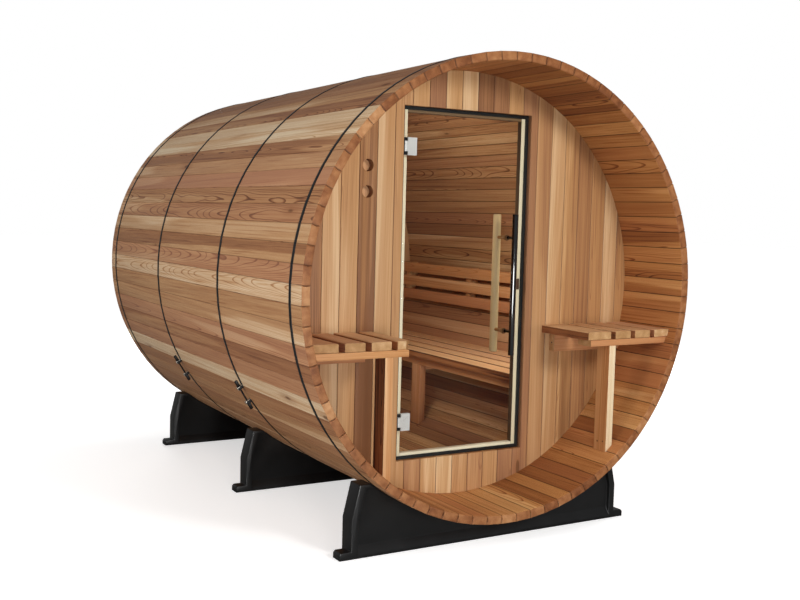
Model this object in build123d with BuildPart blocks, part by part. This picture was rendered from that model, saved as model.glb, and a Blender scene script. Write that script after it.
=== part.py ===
from build123d import *
import os
from math import ceil, cos, degrees, radians, sin, sqrt, tan

# Barrel sauna: a drum of ball-and-cove cedar staves held by steel hoops, lying on three moulded
# cradles, with a recessed front wall that makes an open porch, a glass door and slatted benches.
# Millimetres. X to the right, Y from the porch to the back, Z up. The origin is on the ground,
# under the middle of the barrel.

# ---- Driving dimensions ------------------------------------------------------------------------
# Barrel. A ..._DEPTH is measured from the front rim towards the back.
BARREL_DIAMETER = 1800.0  # across opposite stave faces, outside
BARREL_LENGTH = 2438.0
BARREL_CLEARANCE = 86.0  # between the ground and the lowest stave
STAVE_COUNT = 80
STAVES_PER_SEGMENT = 5
STAVE_THICKNESS = 34.0
STAVE_JOINT_GAP = 0.3
STAVE_BALL_RISE = 4.3
STAVE_BEVEL = 1.6

# End walls of vertical boards cut to the round of the staves. The joints have a V on the porch's
# side of the front wall and on both sides of the rear one.
WALL_THICKNESS = 34.0
FRONT_WALL_DEPTH = 356.0
REAR_WALL_INSET = 142.0
FIT_GAP = 0.3
BOARD_PITCH = 77.0
BOARD_BEVEL = 2.0

# Doorway and vents in the front wall, measured from the barrel's axis.
DOORWAY_LEFT = -308.0
DOORWAY_RIGHT = 312.0
DOORWAY_TOP = 710.0
DOORWAY_BOTTOM = -706.0
VENT_X = -464.0
VENT_HEIGHTS = (469.0, 368.0)
VENT_DIAMETER = 48.0
VENT_SLIDE_MARGIN = 16.0
VENT_SLIDE_THICKNESS = 12.0

# Rebated frame behind the doorway, with the seal on the strips that the door closes on.
FRAME_SETBACK = 28.0
FRAME_BEHIND_WALL = 20.0
FRAME_SIDE_REACH = 32.0
FRAME_END_REACH = 25.0
FRAME_OVERLAP = 24.0
SEAL_WIDTH = 14.0
SEAL_THICKNESS = 8.0

# Glass door.
GLASS_THICKNESS = 8.0
GLASS_SETBACK = 4.0
GLASS_EDGE_GAP = 5.0
GLASS_HINGE_GAP = 9.0

# Door hinges: bright plates clamped on the glass, turning on pins in black wall brackets.
HINGE_PIN_INSET = 13.0
HINGE_HEIGHTS = (551.0, -549.0)
HINGE_PLATE_REACH = 48.0
HINGE_PLATE_HEIGHT = 70.0
HINGE_PLATE_THICKNESS = 3.0
HINGE_EYE_HEIGHT = 40.0
HINGE_EYE_RADIUS = 6.0
HINGE_LUG_HEIGHT = 13.0
HINGE_LUG_GAP = 1.0
HINGE_PIN_RADIUS = 2.5
PIN_RUNNING_GAP = 0.08
BRACKET_LEAF_THICKNESS = 4.0
BRACKET_LEAF_WIDTH = 18.0
BRACKET_SETBACK = 1.0
BRACKET_ARM_THICKNESS = 7.0
GLASS_NOTCH_GAP = 5.0
GLASS_NOTCH_SIDE_GAP = 1.0

# Door pulls, a pair bolted together through the glass.
HANDLE_X = 213.0
HANDLE_LENGTH = 590.0
HANDLE_POST_SPACING = 394.0
OUTER_BAR_DIAMETER = 25.0
OUTER_BAR_STANDOFF = 47.0
OUTER_POST_DIAMETER = 16.0
INNER_BAR_DIAMETER = 34.0
INNER_BAR_STANDOFF = 75.0
INNER_POST_DIAMETER = 26.0
POST_SEAT_LENGTH = 27.0  # flat cut in the inner bar for each post

# Magnetic catch on the frame's right strip.
CATCH_HEIGHT = 46.0
CATCH_WIDTH = 16.0
CATCH_PROJECTION = 11.0
CATCH_EDGE_OVERHANG = 7.0
CATCH_BEVEL = 1.5

# Hoops and their tensioners.
HOOP_NAMES = ("hoop_front", "hoop_second", "hoop_third", "hoop_rear")
HOOP_DEPTHS = (95.0, 809.0, BARREL_LENGTH - 834.0, BARREL_LENGTH - 88.0)
HOOP_SIDES = (1, -1, -1, 1)  # side of each tensioner: 1 to the right, -1 to the left
HOOP_WIDTH = 18.0
HOOP_THICKNESS = 1.6
TENSIONER_STAVE = 27  # staves down from the top to the middle of the tensioner
LUG_SPACING = 72.0
LUG_LENGTH = 14.0
LUG_HEIGHT = 24.0
ROD_DIAMETER = 8.0
ROD_RISE = 15.0
ROD_NUT_LENGTH = 26.0
ROD_NUT_WIDTH = 13.0

# Cradles.
CRADLE_NAMES = ("cradle_front", "cradle_middle", "cradle_rear")
CRADLE_DEPTHS = (106.0, 1135.0, BARREL_LENGTH - 266.0)
CRADLE_THICKNESS = 78.0
CRADLE_LEDGE_WIDTH = 48.0
CRADLE_SPREAD = 31.0
CRADLE_TOP = 276.0
CRADLE_KINK = 145.0
CRADLE_RECESS = 18.0
CRADLE_FLANGE = 28.0
CRADLE_LEDGE = 16.0
CRADLE_LIP_TOP = 45.0
CRADLE_LIP_EDGE = 14.0
FOOT_REACH = 48.0
FOOT_HEIGHT = 30.0
FOOT_THICKNESS = 56.0
FOOT_BEVEL = 8.0

# Slats, shared by the porch benches and the bench inside.
SLAT_THICKNESS = 34.0
SLAT_WIDTH = 82.0
SLAT_GAP = 25.5
SLAT_BEVEL = 3.0
LAST_SLAT_LIMIT = 123.0  # widest that a slat beside the staves gets
SHELL_GAP = 0.5  # between the staves and the pieces cut to fit them

# Porch benches. Heights are below the barrel's axis, edges are from the middle.
PORCH_SEAT_DROP = 176.0
PORCH_FRONT_DEPTH = 50.0
LEFT_INNER_EDGE = 433.0
LEFT_INNER_SLAT = 57.0
LEFT_CORNER_CUT = 22.0
RIGHT_INNER_EDGE = 406.0
RIGHT_INNER_SLAT = 120.0
RAIL_THICKNESS = 26.0
RAIL_DEPTH = 80.0
RAIL_SETBACK = 6.0
LEFT_RAIL_INSET = 5.0
RIGHT_RAIL_INSET = 19.0
LEDGER_HEIGHT = 80.0
LEDGER_THICKNESS = 34.0
LEDGER_INSET = 43.0
POST_WIDTH = 34.0
POST_SETBACK = 4.0
LEFT_POST_EDGE = 501.0
RIGHT_POST_EDGE = 530.0

# Bench and backrest inside, on the right.
BENCH_FRONT_EDGE = 342.0
BENCH_SEAT_DROP = 404.0
BENCH_END_GAP = 6.0
BENCH_RAIL_SETBACK = 22.0
BENCH_RAIL_HEIGHT = 40.0
BEARER_THICKNESS = 34.0
BEARER_HEIGHT = 70.0
BENCH_LEG_LENGTH = 80.0
BACKREST_REACH = 81.0  # from the staves to the front of its slats, level with the axis
BACKREST_TOP_DROP = 0.0
BACKREST_SLAT_WIDTH = 56.0
BACKREST_SLAT_THICKNESS = 20.0
BACKREST_PITCH = 77.0
BACKREST_COUNT = 3
BACKREST_FRONT_GAP = 480.0
BACKREST_REAR_GAP = 72.0
BACKREST_STUD_THICKNESS = 34.0
BACKREST_STUD_COUNT = 3

# ---- Derived sizes -----------------------------------------------------------------------------
OUTER_APOTHEM = BARREL_DIAMETER / 2
AXIS_HEIGHT = OUTER_APOTHEM + BARREL_CLEARANCE
INNER_APOTHEM = OUTER_APOTHEM - STAVE_THICKNESS
STAVE_PITCH = 360.0 / STAVE_COUNT
HALF_PITCH = STAVE_PITCH / 2
HOLLOW_ANGLE = -HALF_PITCH + degrees(STAVE_JOINT_GAP / INNER_APOTHEM)
BEVEL_ANGLE = degrees(STAVE_BEVEL / OUTER_APOTHEM)
SHOULDER = OUTER_APOTHEM - STAVE_BEVEL
BALL_MIDDLE = (SHOULDER + INNER_APOTHEM) / 2
BALL_ANGLE = degrees(STAVE_BALL_RISE / BALL_MIDDLE)
WALL_RADIUS = INNER_APOTHEM - FIT_GAP
STAVE_SEAT = OUTER_APOTHEM + FIT_GAP
LINING_RADIUS = INNER_APOTHEM - SHELL_GAP
REAR_WALL_DEPTH = BARREL_LENGTH - REAR_WALL_INSET - WALL_THICKNESS
ROOM_START = FRONT_WALL_DEPTH + WALL_THICKNESS
BOARD_COUNT = 2 * ceil(WALL_RADIUS / BOARD_PITCH - 0.5) + 1
DOORWAY_MIDDLE = ((DOORWAY_LEFT + DOORWAY_RIGHT) / 2, (DOORWAY_TOP + DOORWAY_BOTTOM) / 2)
DOORWAY_WIDTH = DOORWAY_RIGHT - DOORWAY_LEFT
DOORWAY_HEIGHT = DOORWAY_TOP - DOORWAY_BOTTOM
GLASS_FRONT = FRONT_WALL_DEPTH + GLASS_SETBACK
GLASS_BACK = GLASS_FRONT + GLASS_THICKNESS
GLASS_LEFT = DOORWAY_LEFT + GLASS_HINGE_GAP
FRAME_FRONT = FRONT_WALL_DEPTH + FRAME_SETBACK
PIN_X = DOORWAY_LEFT + HINGE_PIN_INSET
PIN_DEPTH = GLASS_FRONT + GLASS_THICKNESS / 2
GROUND = -AXIS_HEIGHT


# ---- Helpers -----------------------------------------------------------------------------------
def facing_plane(depth):
    """A plane across the barrel at this depth, seen from the porch, with its origin on the axis."""
    origin = (0, depth - BARREL_LENGTH / 2, AXIS_HEIGHT)
    return Plane(origin=origin, x_dir=(1, 0, 0), z_dir=(0, -1, 0))


def level_plane(height):
    """A level plane at this height above the barrel's axis, its origin below the front rim."""
    return Plane(origin=(0, -BARREL_LENGTH / 2, AXIS_HEIGHT + height))


def at_angle(height, angle):
    """Where a line from the axis, at an angle anticlockwise from the top, is this high."""
    return (-height * tan(radians(angle)), height)


def side_plane(x):
    """An upright plane along the barrel, its X the depth and its Y the height above the axis."""
    return Plane(origin=(x, -BARREL_LENGTH / 2, AXIS_HEIGHT), x_dir=(0, 1, 0), z_dir=(1, 0, 0))


def half_chord(height, radius):
    """Half the width of a circle about the axis, at this height above or below the axis."""
    return sqrt(radius**2 - height**2)


def block(plane, low, high, length):
    """A block from a rectangle between two corners on a plane, going away from its front."""
    with BuildPart() as made:
        with BuildSketch(plane):
            with Locations(low):
                Rectangle(high[0] - low[0], high[1] - low[1], align=(Align.MIN, Align.MIN))
        extrude(amount=-length)
    return made.part


def save(part, label):
    """Names a finished piece and writes it to its own file."""
    part.label = label
    export_step(part, f"parts/{label}.step")


os.makedirs("parts", exist_ok=True)

# ---- Staves ------------------------------------------------------------------------------------
# One stave lies at the top of the barrel. Its rounded edge leads anticlockwise, seen from the
# porch, and its hollow edge is the same arc turned back by one pitch, less the gap in the joint.
with BuildPart() as stave:
    with BuildSketch():
        with BuildLine():
            outer_face = Line(
                at_angle(OUTER_APOTHEM, HOLLOW_ANGLE + BEVEL_ANGLE),
                at_angle(OUTER_APOTHEM, HALF_PITCH - BEVEL_ANGLE),
            )
            shoulder = Line(outer_face @ 1, at_angle(SHOULDER, HALF_PITCH))
            ball = ThreePointArc(
                shoulder @ 1,
                at_angle(BALL_MIDDLE, HALF_PITCH + BALL_ANGLE),
                at_angle(INNER_APOTHEM, HALF_PITCH),
            )
            inner_face = Line(ball @ 1, at_angle(INNER_APOTHEM, HOLLOW_ANGLE))
            cove = ThreePointArc(
                inner_face @ 1,
                at_angle(BALL_MIDDLE, HOLLOW_ANGLE + BALL_ANGLE),
                at_angle(SHOULDER, HOLLOW_ANGLE),
            )
            Line(cove @ 1, outer_face @ 0)
        make_face()
    extrude(amount=-BARREL_LENGTH)

for number in range(STAVE_COUNT // STAVES_PER_SEGMENT):
    first = (number * STAVES_PER_SEGMENT - STAVES_PER_SEGMENT // 2) * STAVE_PITCH
    with BuildPart(facing_plane(0)) as segment:
        with PolarLocations(0, STAVES_PER_SEGMENT, first, STAVES_PER_SEGMENT * STAVE_PITCH):
            add(stave.part)
    save(segment.part, f"staves_{number + 1:02d}")


# ---- End walls ---------------------------------------------------------------------------------
def board_wall(depth, board):
    """A disc of upright boards of this section that fills the ring of staves at this depth."""
    with BuildPart() as wall:
        with BuildSketch(level_plane(-WALL_RADIUS)):
            with Locations((0, depth + WALL_THICKNESS / 2)):
                with GridLocations(BOARD_PITCH, 1, BOARD_COUNT, 1):
                    add(board)
        extrude(amount=2 * WALL_RADIUS)
        with BuildSketch(facing_plane(depth)):
            RegularPolygon(WALL_RADIUS, STAVE_COUNT, major_radius=False, rotation=HALF_PITCH)
        extrude(amount=-WALL_THICKNESS, mode=Mode.INTERSECT)
    return wall.part


with BuildSketch() as rear_board:
    Rectangle(BOARD_PITCH - FIT_GAP, WALL_THICKNESS)
    chamfer(rear_board.vertices(), BOARD_BEVEL)

with BuildSketch() as front_board:
    Rectangle(BOARD_PITCH - FIT_GAP, WALL_THICKNESS)
    chamfer(front_board.vertices().group_by(Axis.Y)[0], BOARD_BEVEL)

save(board_wall(REAR_WALL_DEPTH, rear_board.sketch), "rear_wall")

with BuildPart() as front_boards:
    add(board_wall(FRONT_WALL_DEPTH, front_board.sketch))
    with BuildSketch(facing_plane(FRONT_WALL_DEPTH)):
        with Locations(*[(VENT_X, height) for height in VENT_HEIGHTS]):
            Circle(VENT_DIAMETER / 2)
    extrude(amount=-WALL_THICKNESS, mode=Mode.SUBTRACT)

WALL_REGIONS = {
    "front_wall_left": ((-WALL_RADIUS, -WALL_RADIUS), (DOORWAY_LEFT, WALL_RADIUS)),
    "front_wall_right": ((DOORWAY_RIGHT, -WALL_RADIUS), (WALL_RADIUS, WALL_RADIUS)),
    "front_wall_over_door": ((DOORWAY_LEFT, DOORWAY_TOP), (DOORWAY_RIGHT, WALL_RADIUS)),
    "front_wall_under_door": ((DOORWAY_LEFT, -WALL_RADIUS), (DOORWAY_RIGHT, DOORWAY_BOTTOM)),
}
for label, (low, high) in WALL_REGIONS.items():
    with BuildPart() as region:
        add(front_boards.part)
        add(block(facing_plane(FRONT_WALL_DEPTH), low, high, WALL_THICKNESS), mode=Mode.INTERSECT)
    save(region.part, label)

# The slide covers both vents from inside the room.
VENT_REACH = VENT_DIAMETER / 2 + VENT_SLIDE_MARGIN
slide_low = (VENT_X - VENT_REACH, min(VENT_HEIGHTS) - VENT_REACH)
slide_high = (VENT_X + VENT_REACH, max(VENT_HEIGHTS) + VENT_REACH)
save(block(facing_plane(ROOM_START), slide_low, slide_high, VENT_SLIDE_THICKNESS), "vent_slide")

# ---- Door frame and seal -----------------------------------------------------------------------
# Four strips. The side strips run the whole height, and the rebate laps over the wall's inner face.
INNER_LEFT = DOORWAY_LEFT + FRAME_SIDE_REACH
INNER_RIGHT = DOORWAY_RIGHT - FRAME_SIDE_REACH

with BuildPart() as door_frame:
    with BuildSketch(facing_plane(FRAME_FRONT)):
        with Locations(DOORWAY_MIDDLE):
            Rectangle(DOORWAY_WIDTH - 2 * FIT_GAP, DOORWAY_HEIGHT - 2 * FIT_GAP)
    extrude(amount=FRAME_FRONT - ROOM_START - FRAME_BEHIND_WALL)
    with BuildSketch(facing_plane(ROOM_START)):
        with Locations(DOORWAY_MIDDLE):
            Rectangle(DOORWAY_WIDTH + 2 * FRAME_OVERLAP, DOORWAY_HEIGHT + 2 * FRAME_OVERLAP)
    extrude(amount=-FRAME_BEHIND_WALL)
    with BuildSketch(facing_plane(FRAME_FRONT)):
        with Locations(DOORWAY_MIDDLE):
            Rectangle(DOORWAY_WIDTH - 2 * FRAME_SIDE_REACH, DOORWAY_HEIGHT - 2 * FRAME_END_REACH)
        with Locations((INNER_LEFT, DOORWAY_MIDDLE[1]), (INNER_RIGHT, DOORWAY_MIDDLE[1])):
            Rectangle(FIT_GAP, DOORWAY_HEIGHT + 3 * FRAME_OVERLAP)
    extrude(amount=FRAME_FRONT - ROOM_START - FRAME_BEHIND_WALL, mode=Mode.SUBTRACT)
save(door_frame.part, "door_stop")

with BuildPart() as seal:
    with BuildSketch(facing_plane(FRAME_FRONT - SEAL_THICKNESS)):
        with Locations(DOORWAY_MIDDLE):
            Rectangle(DOORWAY_WIDTH - 2 * FIT_GAP, DOORWAY_HEIGHT - 2 * FIT_GAP)
            Rectangle(
                DOORWAY_WIDTH - 2 * SEAL_WIDTH,
                DOORWAY_HEIGHT - 2 * SEAL_WIDTH,
                mode=Mode.SUBTRACT,
            )
    extrude(amount=-SEAL_THICKNESS)
save(seal.part, "door_seal")

with BuildPart() as catch:
    add(
        block(
            facing_plane(FRAME_FRONT - CATCH_PROJECTION),
            (INNER_RIGHT - CATCH_EDGE_OVERHANG, -CATCH_HEIGHT / 2),
            (INNER_RIGHT - CATCH_EDGE_OVERHANG + CATCH_WIDTH, CATCH_HEIGHT / 2),
            CATCH_PROJECTION,
        )
    )
    chamfer(catch.faces().sort_by(Axis.Y)[0].edges(), CATCH_BEVEL)
save(catch.part, "door_catch")

# ---- Glass door --------------------------------------------------------------------------------
GLASS_WIDTH = DOORWAY_RIGHT - GLASS_EDGE_GAP - GLASS_LEFT
GLASS_HEIGHT = DOORWAY_HEIGHT - 2 * GLASS_EDGE_GAP
NOTCH_RIGHT = PIN_X + HINGE_EYE_RADIUS + GLASS_NOTCH_SIDE_GAP
HANDLE_POSTS = [(HANDLE_X, side * HANDLE_POST_SPACING / 2) for side in (1, -1)]

with BuildPart() as glass:
    with BuildSketch(facing_plane(GLASS_FRONT)):
        with Locations((GLASS_LEFT + GLASS_WIDTH / 2, DOORWAY_MIDDLE[1])):
            Rectangle(GLASS_WIDTH, GLASS_HEIGHT)
        with Locations(*[(NOTCH_RIGHT, height) for height in HINGE_HEIGHTS]):
            Rectangle(
                NOTCH_RIGHT - GLASS_LEFT,
                HINGE_PLATE_HEIGHT + 2 * GLASS_NOTCH_GAP,
                align=(Align.MAX, Align.CENTER),
                mode=Mode.SUBTRACT,
            )
    extrude(amount=-GLASS_THICKNESS)
save(glass.part, "door_glass")

# Hinges. The plates clamp the glass front and back, and the eye between them turns on the pin.
EYE_DEPTH = GLASS_THICKNESS + 2 * HINGE_PLATE_THICKNESS
PLATE_LEFT = NOTCH_RIGHT
PLATE_RIGHT = PIN_X + HINGE_PLATE_REACH

with BuildPart() as hinge_plates:
    for height in HINGE_HEIGHTS:
        for face_depth in (GLASS_FRONT - HINGE_PLATE_THICKNESS, GLASS_BACK):
            with BuildSketch(facing_plane(face_depth)):
                with Locations(((PLATE_LEFT + PLATE_RIGHT) / 2, height)):
                    Rectangle(PLATE_RIGHT - PLATE_LEFT, HINGE_PLATE_HEIGHT)
            extrude(amount=-HINGE_PLATE_THICKNESS)
        with BuildSketch(facing_plane(GLASS_FRONT - HINGE_PLATE_THICKNESS)):
            with Locations((PIN_X, height)):
                Rectangle(PLATE_LEFT - PIN_X, HINGE_EYE_HEIGHT, align=(Align.MIN, Align.CENTER))
        extrude(amount=-EYE_DEPTH)
        with BuildSketch(level_plane(height - HINGE_EYE_HEIGHT / 2)):
            with Locations((PIN_X, PIN_DEPTH)):
                Circle(EYE_DEPTH / 2)
        extrude(amount=HINGE_EYE_HEIGHT)
        with BuildSketch(level_plane(height - HINGE_EYE_HEIGHT / 2)):
            with Locations((PIN_X, PIN_DEPTH)):
                Circle(HINGE_PIN_RADIUS + PIN_RUNNING_GAP)
        extrude(amount=HINGE_EYE_HEIGHT, mode=Mode.SUBTRACT)
save(hinge_plates.part, "hinge_plates")

BRACKET_HEIGHT = HINGE_EYE_HEIGHT + 2 * (HINGE_LUG_GAP + HINGE_LUG_HEIGHT)

with BuildPart() as hinge_brackets:
    for height in HINGE_HEIGHTS:
        bottom = height - BRACKET_HEIGHT / 2
        with BuildSketch(level_plane(bottom)):
            with Locations((DOORWAY_LEFT, FRONT_WALL_DEPTH + BRACKET_SETBACK)):
                Rectangle(BRACKET_LEAF_THICKNESS, BRACKET_LEAF_WIDTH, align=(Align.MIN, Align.MIN))
            with Locations((PIN_X, PIN_DEPTH)):
                Circle(HINGE_PIN_RADIUS)
        extrude(amount=BRACKET_HEIGHT)
        for lug_bottom in (bottom, bottom + BRACKET_HEIGHT - HINGE_LUG_HEIGHT):
            with BuildSketch(level_plane(lug_bottom)):
                with Locations((DOORWAY_LEFT, PIN_DEPTH)):
                    Rectangle(
                        HINGE_PIN_INSET + HINGE_EYE_RADIUS,
                        BRACKET_ARM_THICKNESS,
                        align=(Align.MIN, Align.CENTER),
                    )
            extrude(amount=HINGE_LUG_HEIGHT)
save(hinge_brackets.part, "hinge_brackets")

# Pull bars. The outer bar is one piece with its posts. The inner one, of wood, has a flat cut in
# its back for each turned post.
OUTER_BAR_DEPTH = GLASS_FRONT - OUTER_BAR_STANDOFF
INNER_BAR_DEPTH = GLASS_BACK + INNER_BAR_STANDOFF
SEAT_DEPTH = INNER_BAR_DEPTH - half_chord(INNER_POST_DIAMETER / 2, INNER_BAR_DIAMETER / 2)

with BuildPart() as outer_handle:
    with BuildSketch(level_plane(-HANDLE_LENGTH / 2)):
        with Locations((HANDLE_X, OUTER_BAR_DEPTH)):
            Circle(OUTER_BAR_DIAMETER / 2)
    extrude(amount=HANDLE_LENGTH)
    with BuildSketch(facing_plane(OUTER_BAR_DEPTH)):
        with Locations(*HANDLE_POSTS):
            Circle(OUTER_POST_DIAMETER / 2)
    extrude(amount=-OUTER_BAR_STANDOFF)
save(outer_handle.part, "pull_handle_outer")

with BuildPart() as inner_handle:
    with BuildSketch(level_plane(-HANDLE_LENGTH / 2)):
        with Locations((HANDLE_X, INNER_BAR_DEPTH)):
            Circle(INNER_BAR_DIAMETER / 2)
    extrude(amount=HANDLE_LENGTH)
    with BuildSketch(facing_plane(SEAT_DEPTH)):
        with Locations(*HANDLE_POSTS):
            Rectangle(INNER_BAR_DIAMETER, POST_SEAT_LENGTH)
    extrude(amount=INNER_BAR_DIAMETER, mode=Mode.SUBTRACT)
    with BuildSketch(facing_plane(GLASS_BACK)):
        with Locations(*HANDLE_POSTS):
            Circle(INNER_POST_DIAMETER / 2)
    extrude(amount=GLASS_BACK - SEAT_DEPTH)
save(inner_handle.part, "pull_handle_inner")

# ---- Hoops -------------------------------------------------------------------------------------
# Each band lies flat on every stave. Its ends stop at two lugs that a threaded rod draws together.
ROD_RADIUS = STAVE_SEAT + ROD_RISE
LUG_REACH = (LUG_SPACING + LUG_LENGTH) / 2


def tensioner_plane(depth, side):
    """Across the barrel at this depth, turned so that Y points out through a hoop's tensioner."""
    turn = radians(-side * TENSIONER_STAVE * STAVE_PITCH)
    return Plane(facing_plane(depth).origin, x_dir=(cos(turn), 0, sin(turn)), z_dir=(0, -1, 0))


def rod_plane(depth, side, along):
    """Across a tensioner's rod, at a distance along it from its middle."""
    hoop_plane = tensioner_plane(depth, side)
    middle = hoop_plane.from_local_coords((along, ROD_RADIUS, 0))
    return Plane(origin=middle, x_dir=hoop_plane.y_dir, z_dir=hoop_plane.x_dir)


for label, depth, side in zip(HOOP_NAMES, HOOP_DEPTHS, HOOP_SIDES):
    with BuildPart() as hoop:
        with BuildSketch(facing_plane(depth - HOOP_WIDTH / 2)):
            for radius, mode in ((STAVE_SEAT + HOOP_THICKNESS, Mode.ADD), (STAVE_SEAT, Mode.SUBTRACT)):
                RegularPolygon(radius, STAVE_COUNT, major_radius=False, rotation=HALF_PITCH, mode=mode)
        extrude(amount=-HOOP_WIDTH)
        with BuildSketch(tensioner_plane(depth - HOOP_WIDTH / 2, side)):
            with Locations((0, STAVE_SEAT)):
                Rectangle(LUG_SPACING - LUG_LENGTH, 4 * HOOP_THICKNESS)
        extrude(amount=-HOOP_WIDTH, mode=Mode.SUBTRACT)
        with BuildSketch(tensioner_plane(depth - HOOP_WIDTH / 2, side)):
            with Locations((0, STAVE_SEAT + HOOP_THICKNESS / 2)):
                with GridLocations(LUG_SPACING, 1, 2, 1):
                    Rectangle(LUG_LENGTH, LUG_HEIGHT, align=(Align.CENTER, Align.MIN))
        extrude(amount=-HOOP_WIDTH)
    save(hoop.part, label)

with BuildPart() as tension_bolts:
    for depth, side in zip(HOOP_DEPTHS, HOOP_SIDES):
        with BuildSketch(rod_plane(depth, side, (LUG_LENGTH - LUG_SPACING) / 2)):
            Circle(ROD_DIAMETER / 2)
        extrude(amount=LUG_SPACING - LUG_LENGTH)
        for nut_start in (-LUG_REACH - ROD_NUT_LENGTH, LUG_REACH):
            with BuildSketch(rod_plane(depth, side, nut_start)):
                RegularPolygon(ROD_NUT_WIDTH / 2, 6, major_radius=False)
            extrude(amount=ROD_NUT_LENGTH)
save(tension_bolts.part, "tension_bolts")

# ---- Cradles -----------------------------------------------------------------------------------
# Solid saddles, panelled on both faces, with a sloping lip along the foot of each panel.
CRADLE_TOP_REACH = half_chord(GROUND + CRADLE_TOP, STAVE_SEAT) + CRADLE_LEDGE_WIDTH
CRADLE_REACH = CRADLE_TOP_REACH + CRADLE_SPREAD

for label, depth in zip(CRADLE_NAMES, CRADLE_DEPTHS):
    back = depth + CRADLE_THICKNESS
    with BuildPart() as cradle:
        with BuildSketch(facing_plane(depth)):
            with BuildLine():
                Polyline(
                    (0, GROUND),
                    (CRADLE_REACH, GROUND),
                    (CRADLE_REACH, GROUND + CRADLE_KINK),
                    (CRADLE_TOP_REACH, GROUND + CRADLE_TOP),
                    (0, GROUND + CRADLE_TOP),
                )
                mirror(about=Plane.YZ)
            make_face()
            RegularPolygon(
                STAVE_SEAT,
                STAVE_COUNT,
                major_radius=False,
                rotation=HALF_PITCH,
                mode=Mode.SUBTRACT,
            )
        extrude(amount=-CRADLE_THICKNESS)
        for face_depth, inwards in ((depth, -CRADLE_RECESS), (back, CRADLE_RECESS)):
            with BuildSketch(facing_plane(face_depth)):
                with BuildLine():
                    Polyline(
                        (0, GROUND + CRADLE_LIP_TOP),
                        (CRADLE_REACH - CRADLE_FLANGE, GROUND + CRADLE_LIP_TOP),
                        (CRADLE_REACH - CRADLE_FLANGE, GROUND + CRADLE_KINK),
                        (CRADLE_TOP_REACH - CRADLE_FLANGE, GROUND + CRADLE_TOP - CRADLE_LEDGE),
                        (0, GROUND + CRADLE_TOP - CRADLE_LEDGE),
                    )
                    mirror(about=Plane.YZ)
                make_face()
            extrude(amount=inwards, mode=Mode.SUBTRACT)
        with BuildSketch(side_plane(CRADLE_FLANGE - CRADLE_REACH)):
            for face_depth, inwards in ((depth, CRADLE_RECESS), (back, -CRADLE_RECESS)):
                with BuildLine():
                    Polyline(
                        (face_depth, GROUND + CRADLE_LIP_EDGE),
                        (face_depth, GROUND + CRADLE_LIP_TOP),
                        (face_depth + inwards, GROUND + CRADLE_LIP_TOP),
                        close=True,
                    )
                make_face()
        extrude(amount=2 * (CRADLE_REACH - CRADLE_FLANGE), mode=Mode.SUBTRACT)
        with BuildSketch(facing_plane(depth)):
            with BuildLine():
                Polyline(
                    (CRADLE_REACH, GROUND),
                    (CRADLE_REACH + FOOT_REACH, GROUND),
                    (CRADLE_REACH + FOOT_REACH, GROUND + FOOT_HEIGHT - FOOT_BEVEL),
                    (CRADLE_REACH + FOOT_REACH - FOOT_BEVEL, GROUND + FOOT_HEIGHT),
                    (CRADLE_REACH, GROUND + FOOT_HEIGHT),
                    close=True,
                )
            make_face()
            mirror(about=Plane.YZ)
        extrude(amount=-FOOT_THICKNESS)
    save(cradle.part, label)


# ---- Benches -----------------------------------------------------------------------------------
# The room that the staves leave, which every slat, rail and stud that reaches them is cut to.
with BuildPart() as lining:
    with BuildSketch(facing_plane(0)):
        Circle(LINING_RADIUS)
    extrude(amount=-BARREL_LENGTH)


def slat_edges(inner_edge, first_width, seat_drop):
    """Inner and outer edges of a bench's slats. The last one runs on and is cut to the staves."""
    reach = half_chord(seat_drop + SLAT_THICKNESS, LINING_RADIUS)
    edges = [(inner_edge, inner_edge + first_width)]
    while reach - edges[-1][1] - SLAT_GAP > LAST_SLAT_LIMIT:
        start = edges[-1][1] + SLAT_GAP
        edges.append((start, start + SLAT_WIDTH))
    edges.append((edges[-1][1] + SLAT_GAP, INNER_APOTHEM))
    return edges


def slat_bench(edges, seat_drop, front, back, corner_cut=0.0):
    """The slats of a bench on the right, from one depth to another, cut to fit the staves."""
    with BuildPart() as slats:
        with BuildSketch(level_plane(-seat_drop - SLAT_THICKNESS)) as rows:
            for inner_edge, outer_edge in edges:
                with Locations((inner_edge, front)):
                    Rectangle(outer_edge - inner_edge, back - front, align=(Align.MIN, Align.MIN))
            if corner_cut:
                chamfer(rows.vertices().group_by(Axis.Y)[0].sort_by(Axis.X)[0], corner_cut)
        extrude(amount=SLAT_THICKNESS)
        chamfer(slats.edges().filter_by(Axis.Y), SLAT_BEVEL)
        add(lining.part, mode=Mode.INTERSECT)
    return slats.part


def on_left(part):
    """A piece made for the right side, turned over to the left."""
    return mirror(part, about=Plane.YZ)


def porch_frame(inner_edge, rail_inset, post_edge):
    """Rail, post and wall ledger under the slats of a porch bench on the right."""
    rail_front = PORCH_FRONT_DEPTH + RAIL_SETBACK
    rail_top = -PORCH_SEAT_DROP - SLAT_THICKNESS
    rail_bottom = rail_top - RAIL_THICKNESS
    with BuildPart() as frame:
        add(
            block(
                facing_plane(rail_front),
                (inner_edge + rail_inset, rail_bottom),
                (INNER_APOTHEM, rail_top),
                RAIL_DEPTH,
            )
        )
        add(
            block(
                facing_plane(rail_front + POST_SETBACK),
                (post_edge, -INNER_APOTHEM),
                (post_edge + POST_WIDTH, rail_bottom - FIT_GAP),
                RAIL_DEPTH - POST_SETBACK,
            )
        )
        add(
            block(
                facing_plane(FRONT_WALL_DEPTH - LEDGER_THICKNESS),
                (inner_edge + LEDGER_INSET, rail_top - LEDGER_HEIGHT),
                (INNER_APOTHEM, rail_top),
                LEDGER_THICKNESS,
            )
        )
        add(lining.part, mode=Mode.INTERSECT)
    return frame.part


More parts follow.
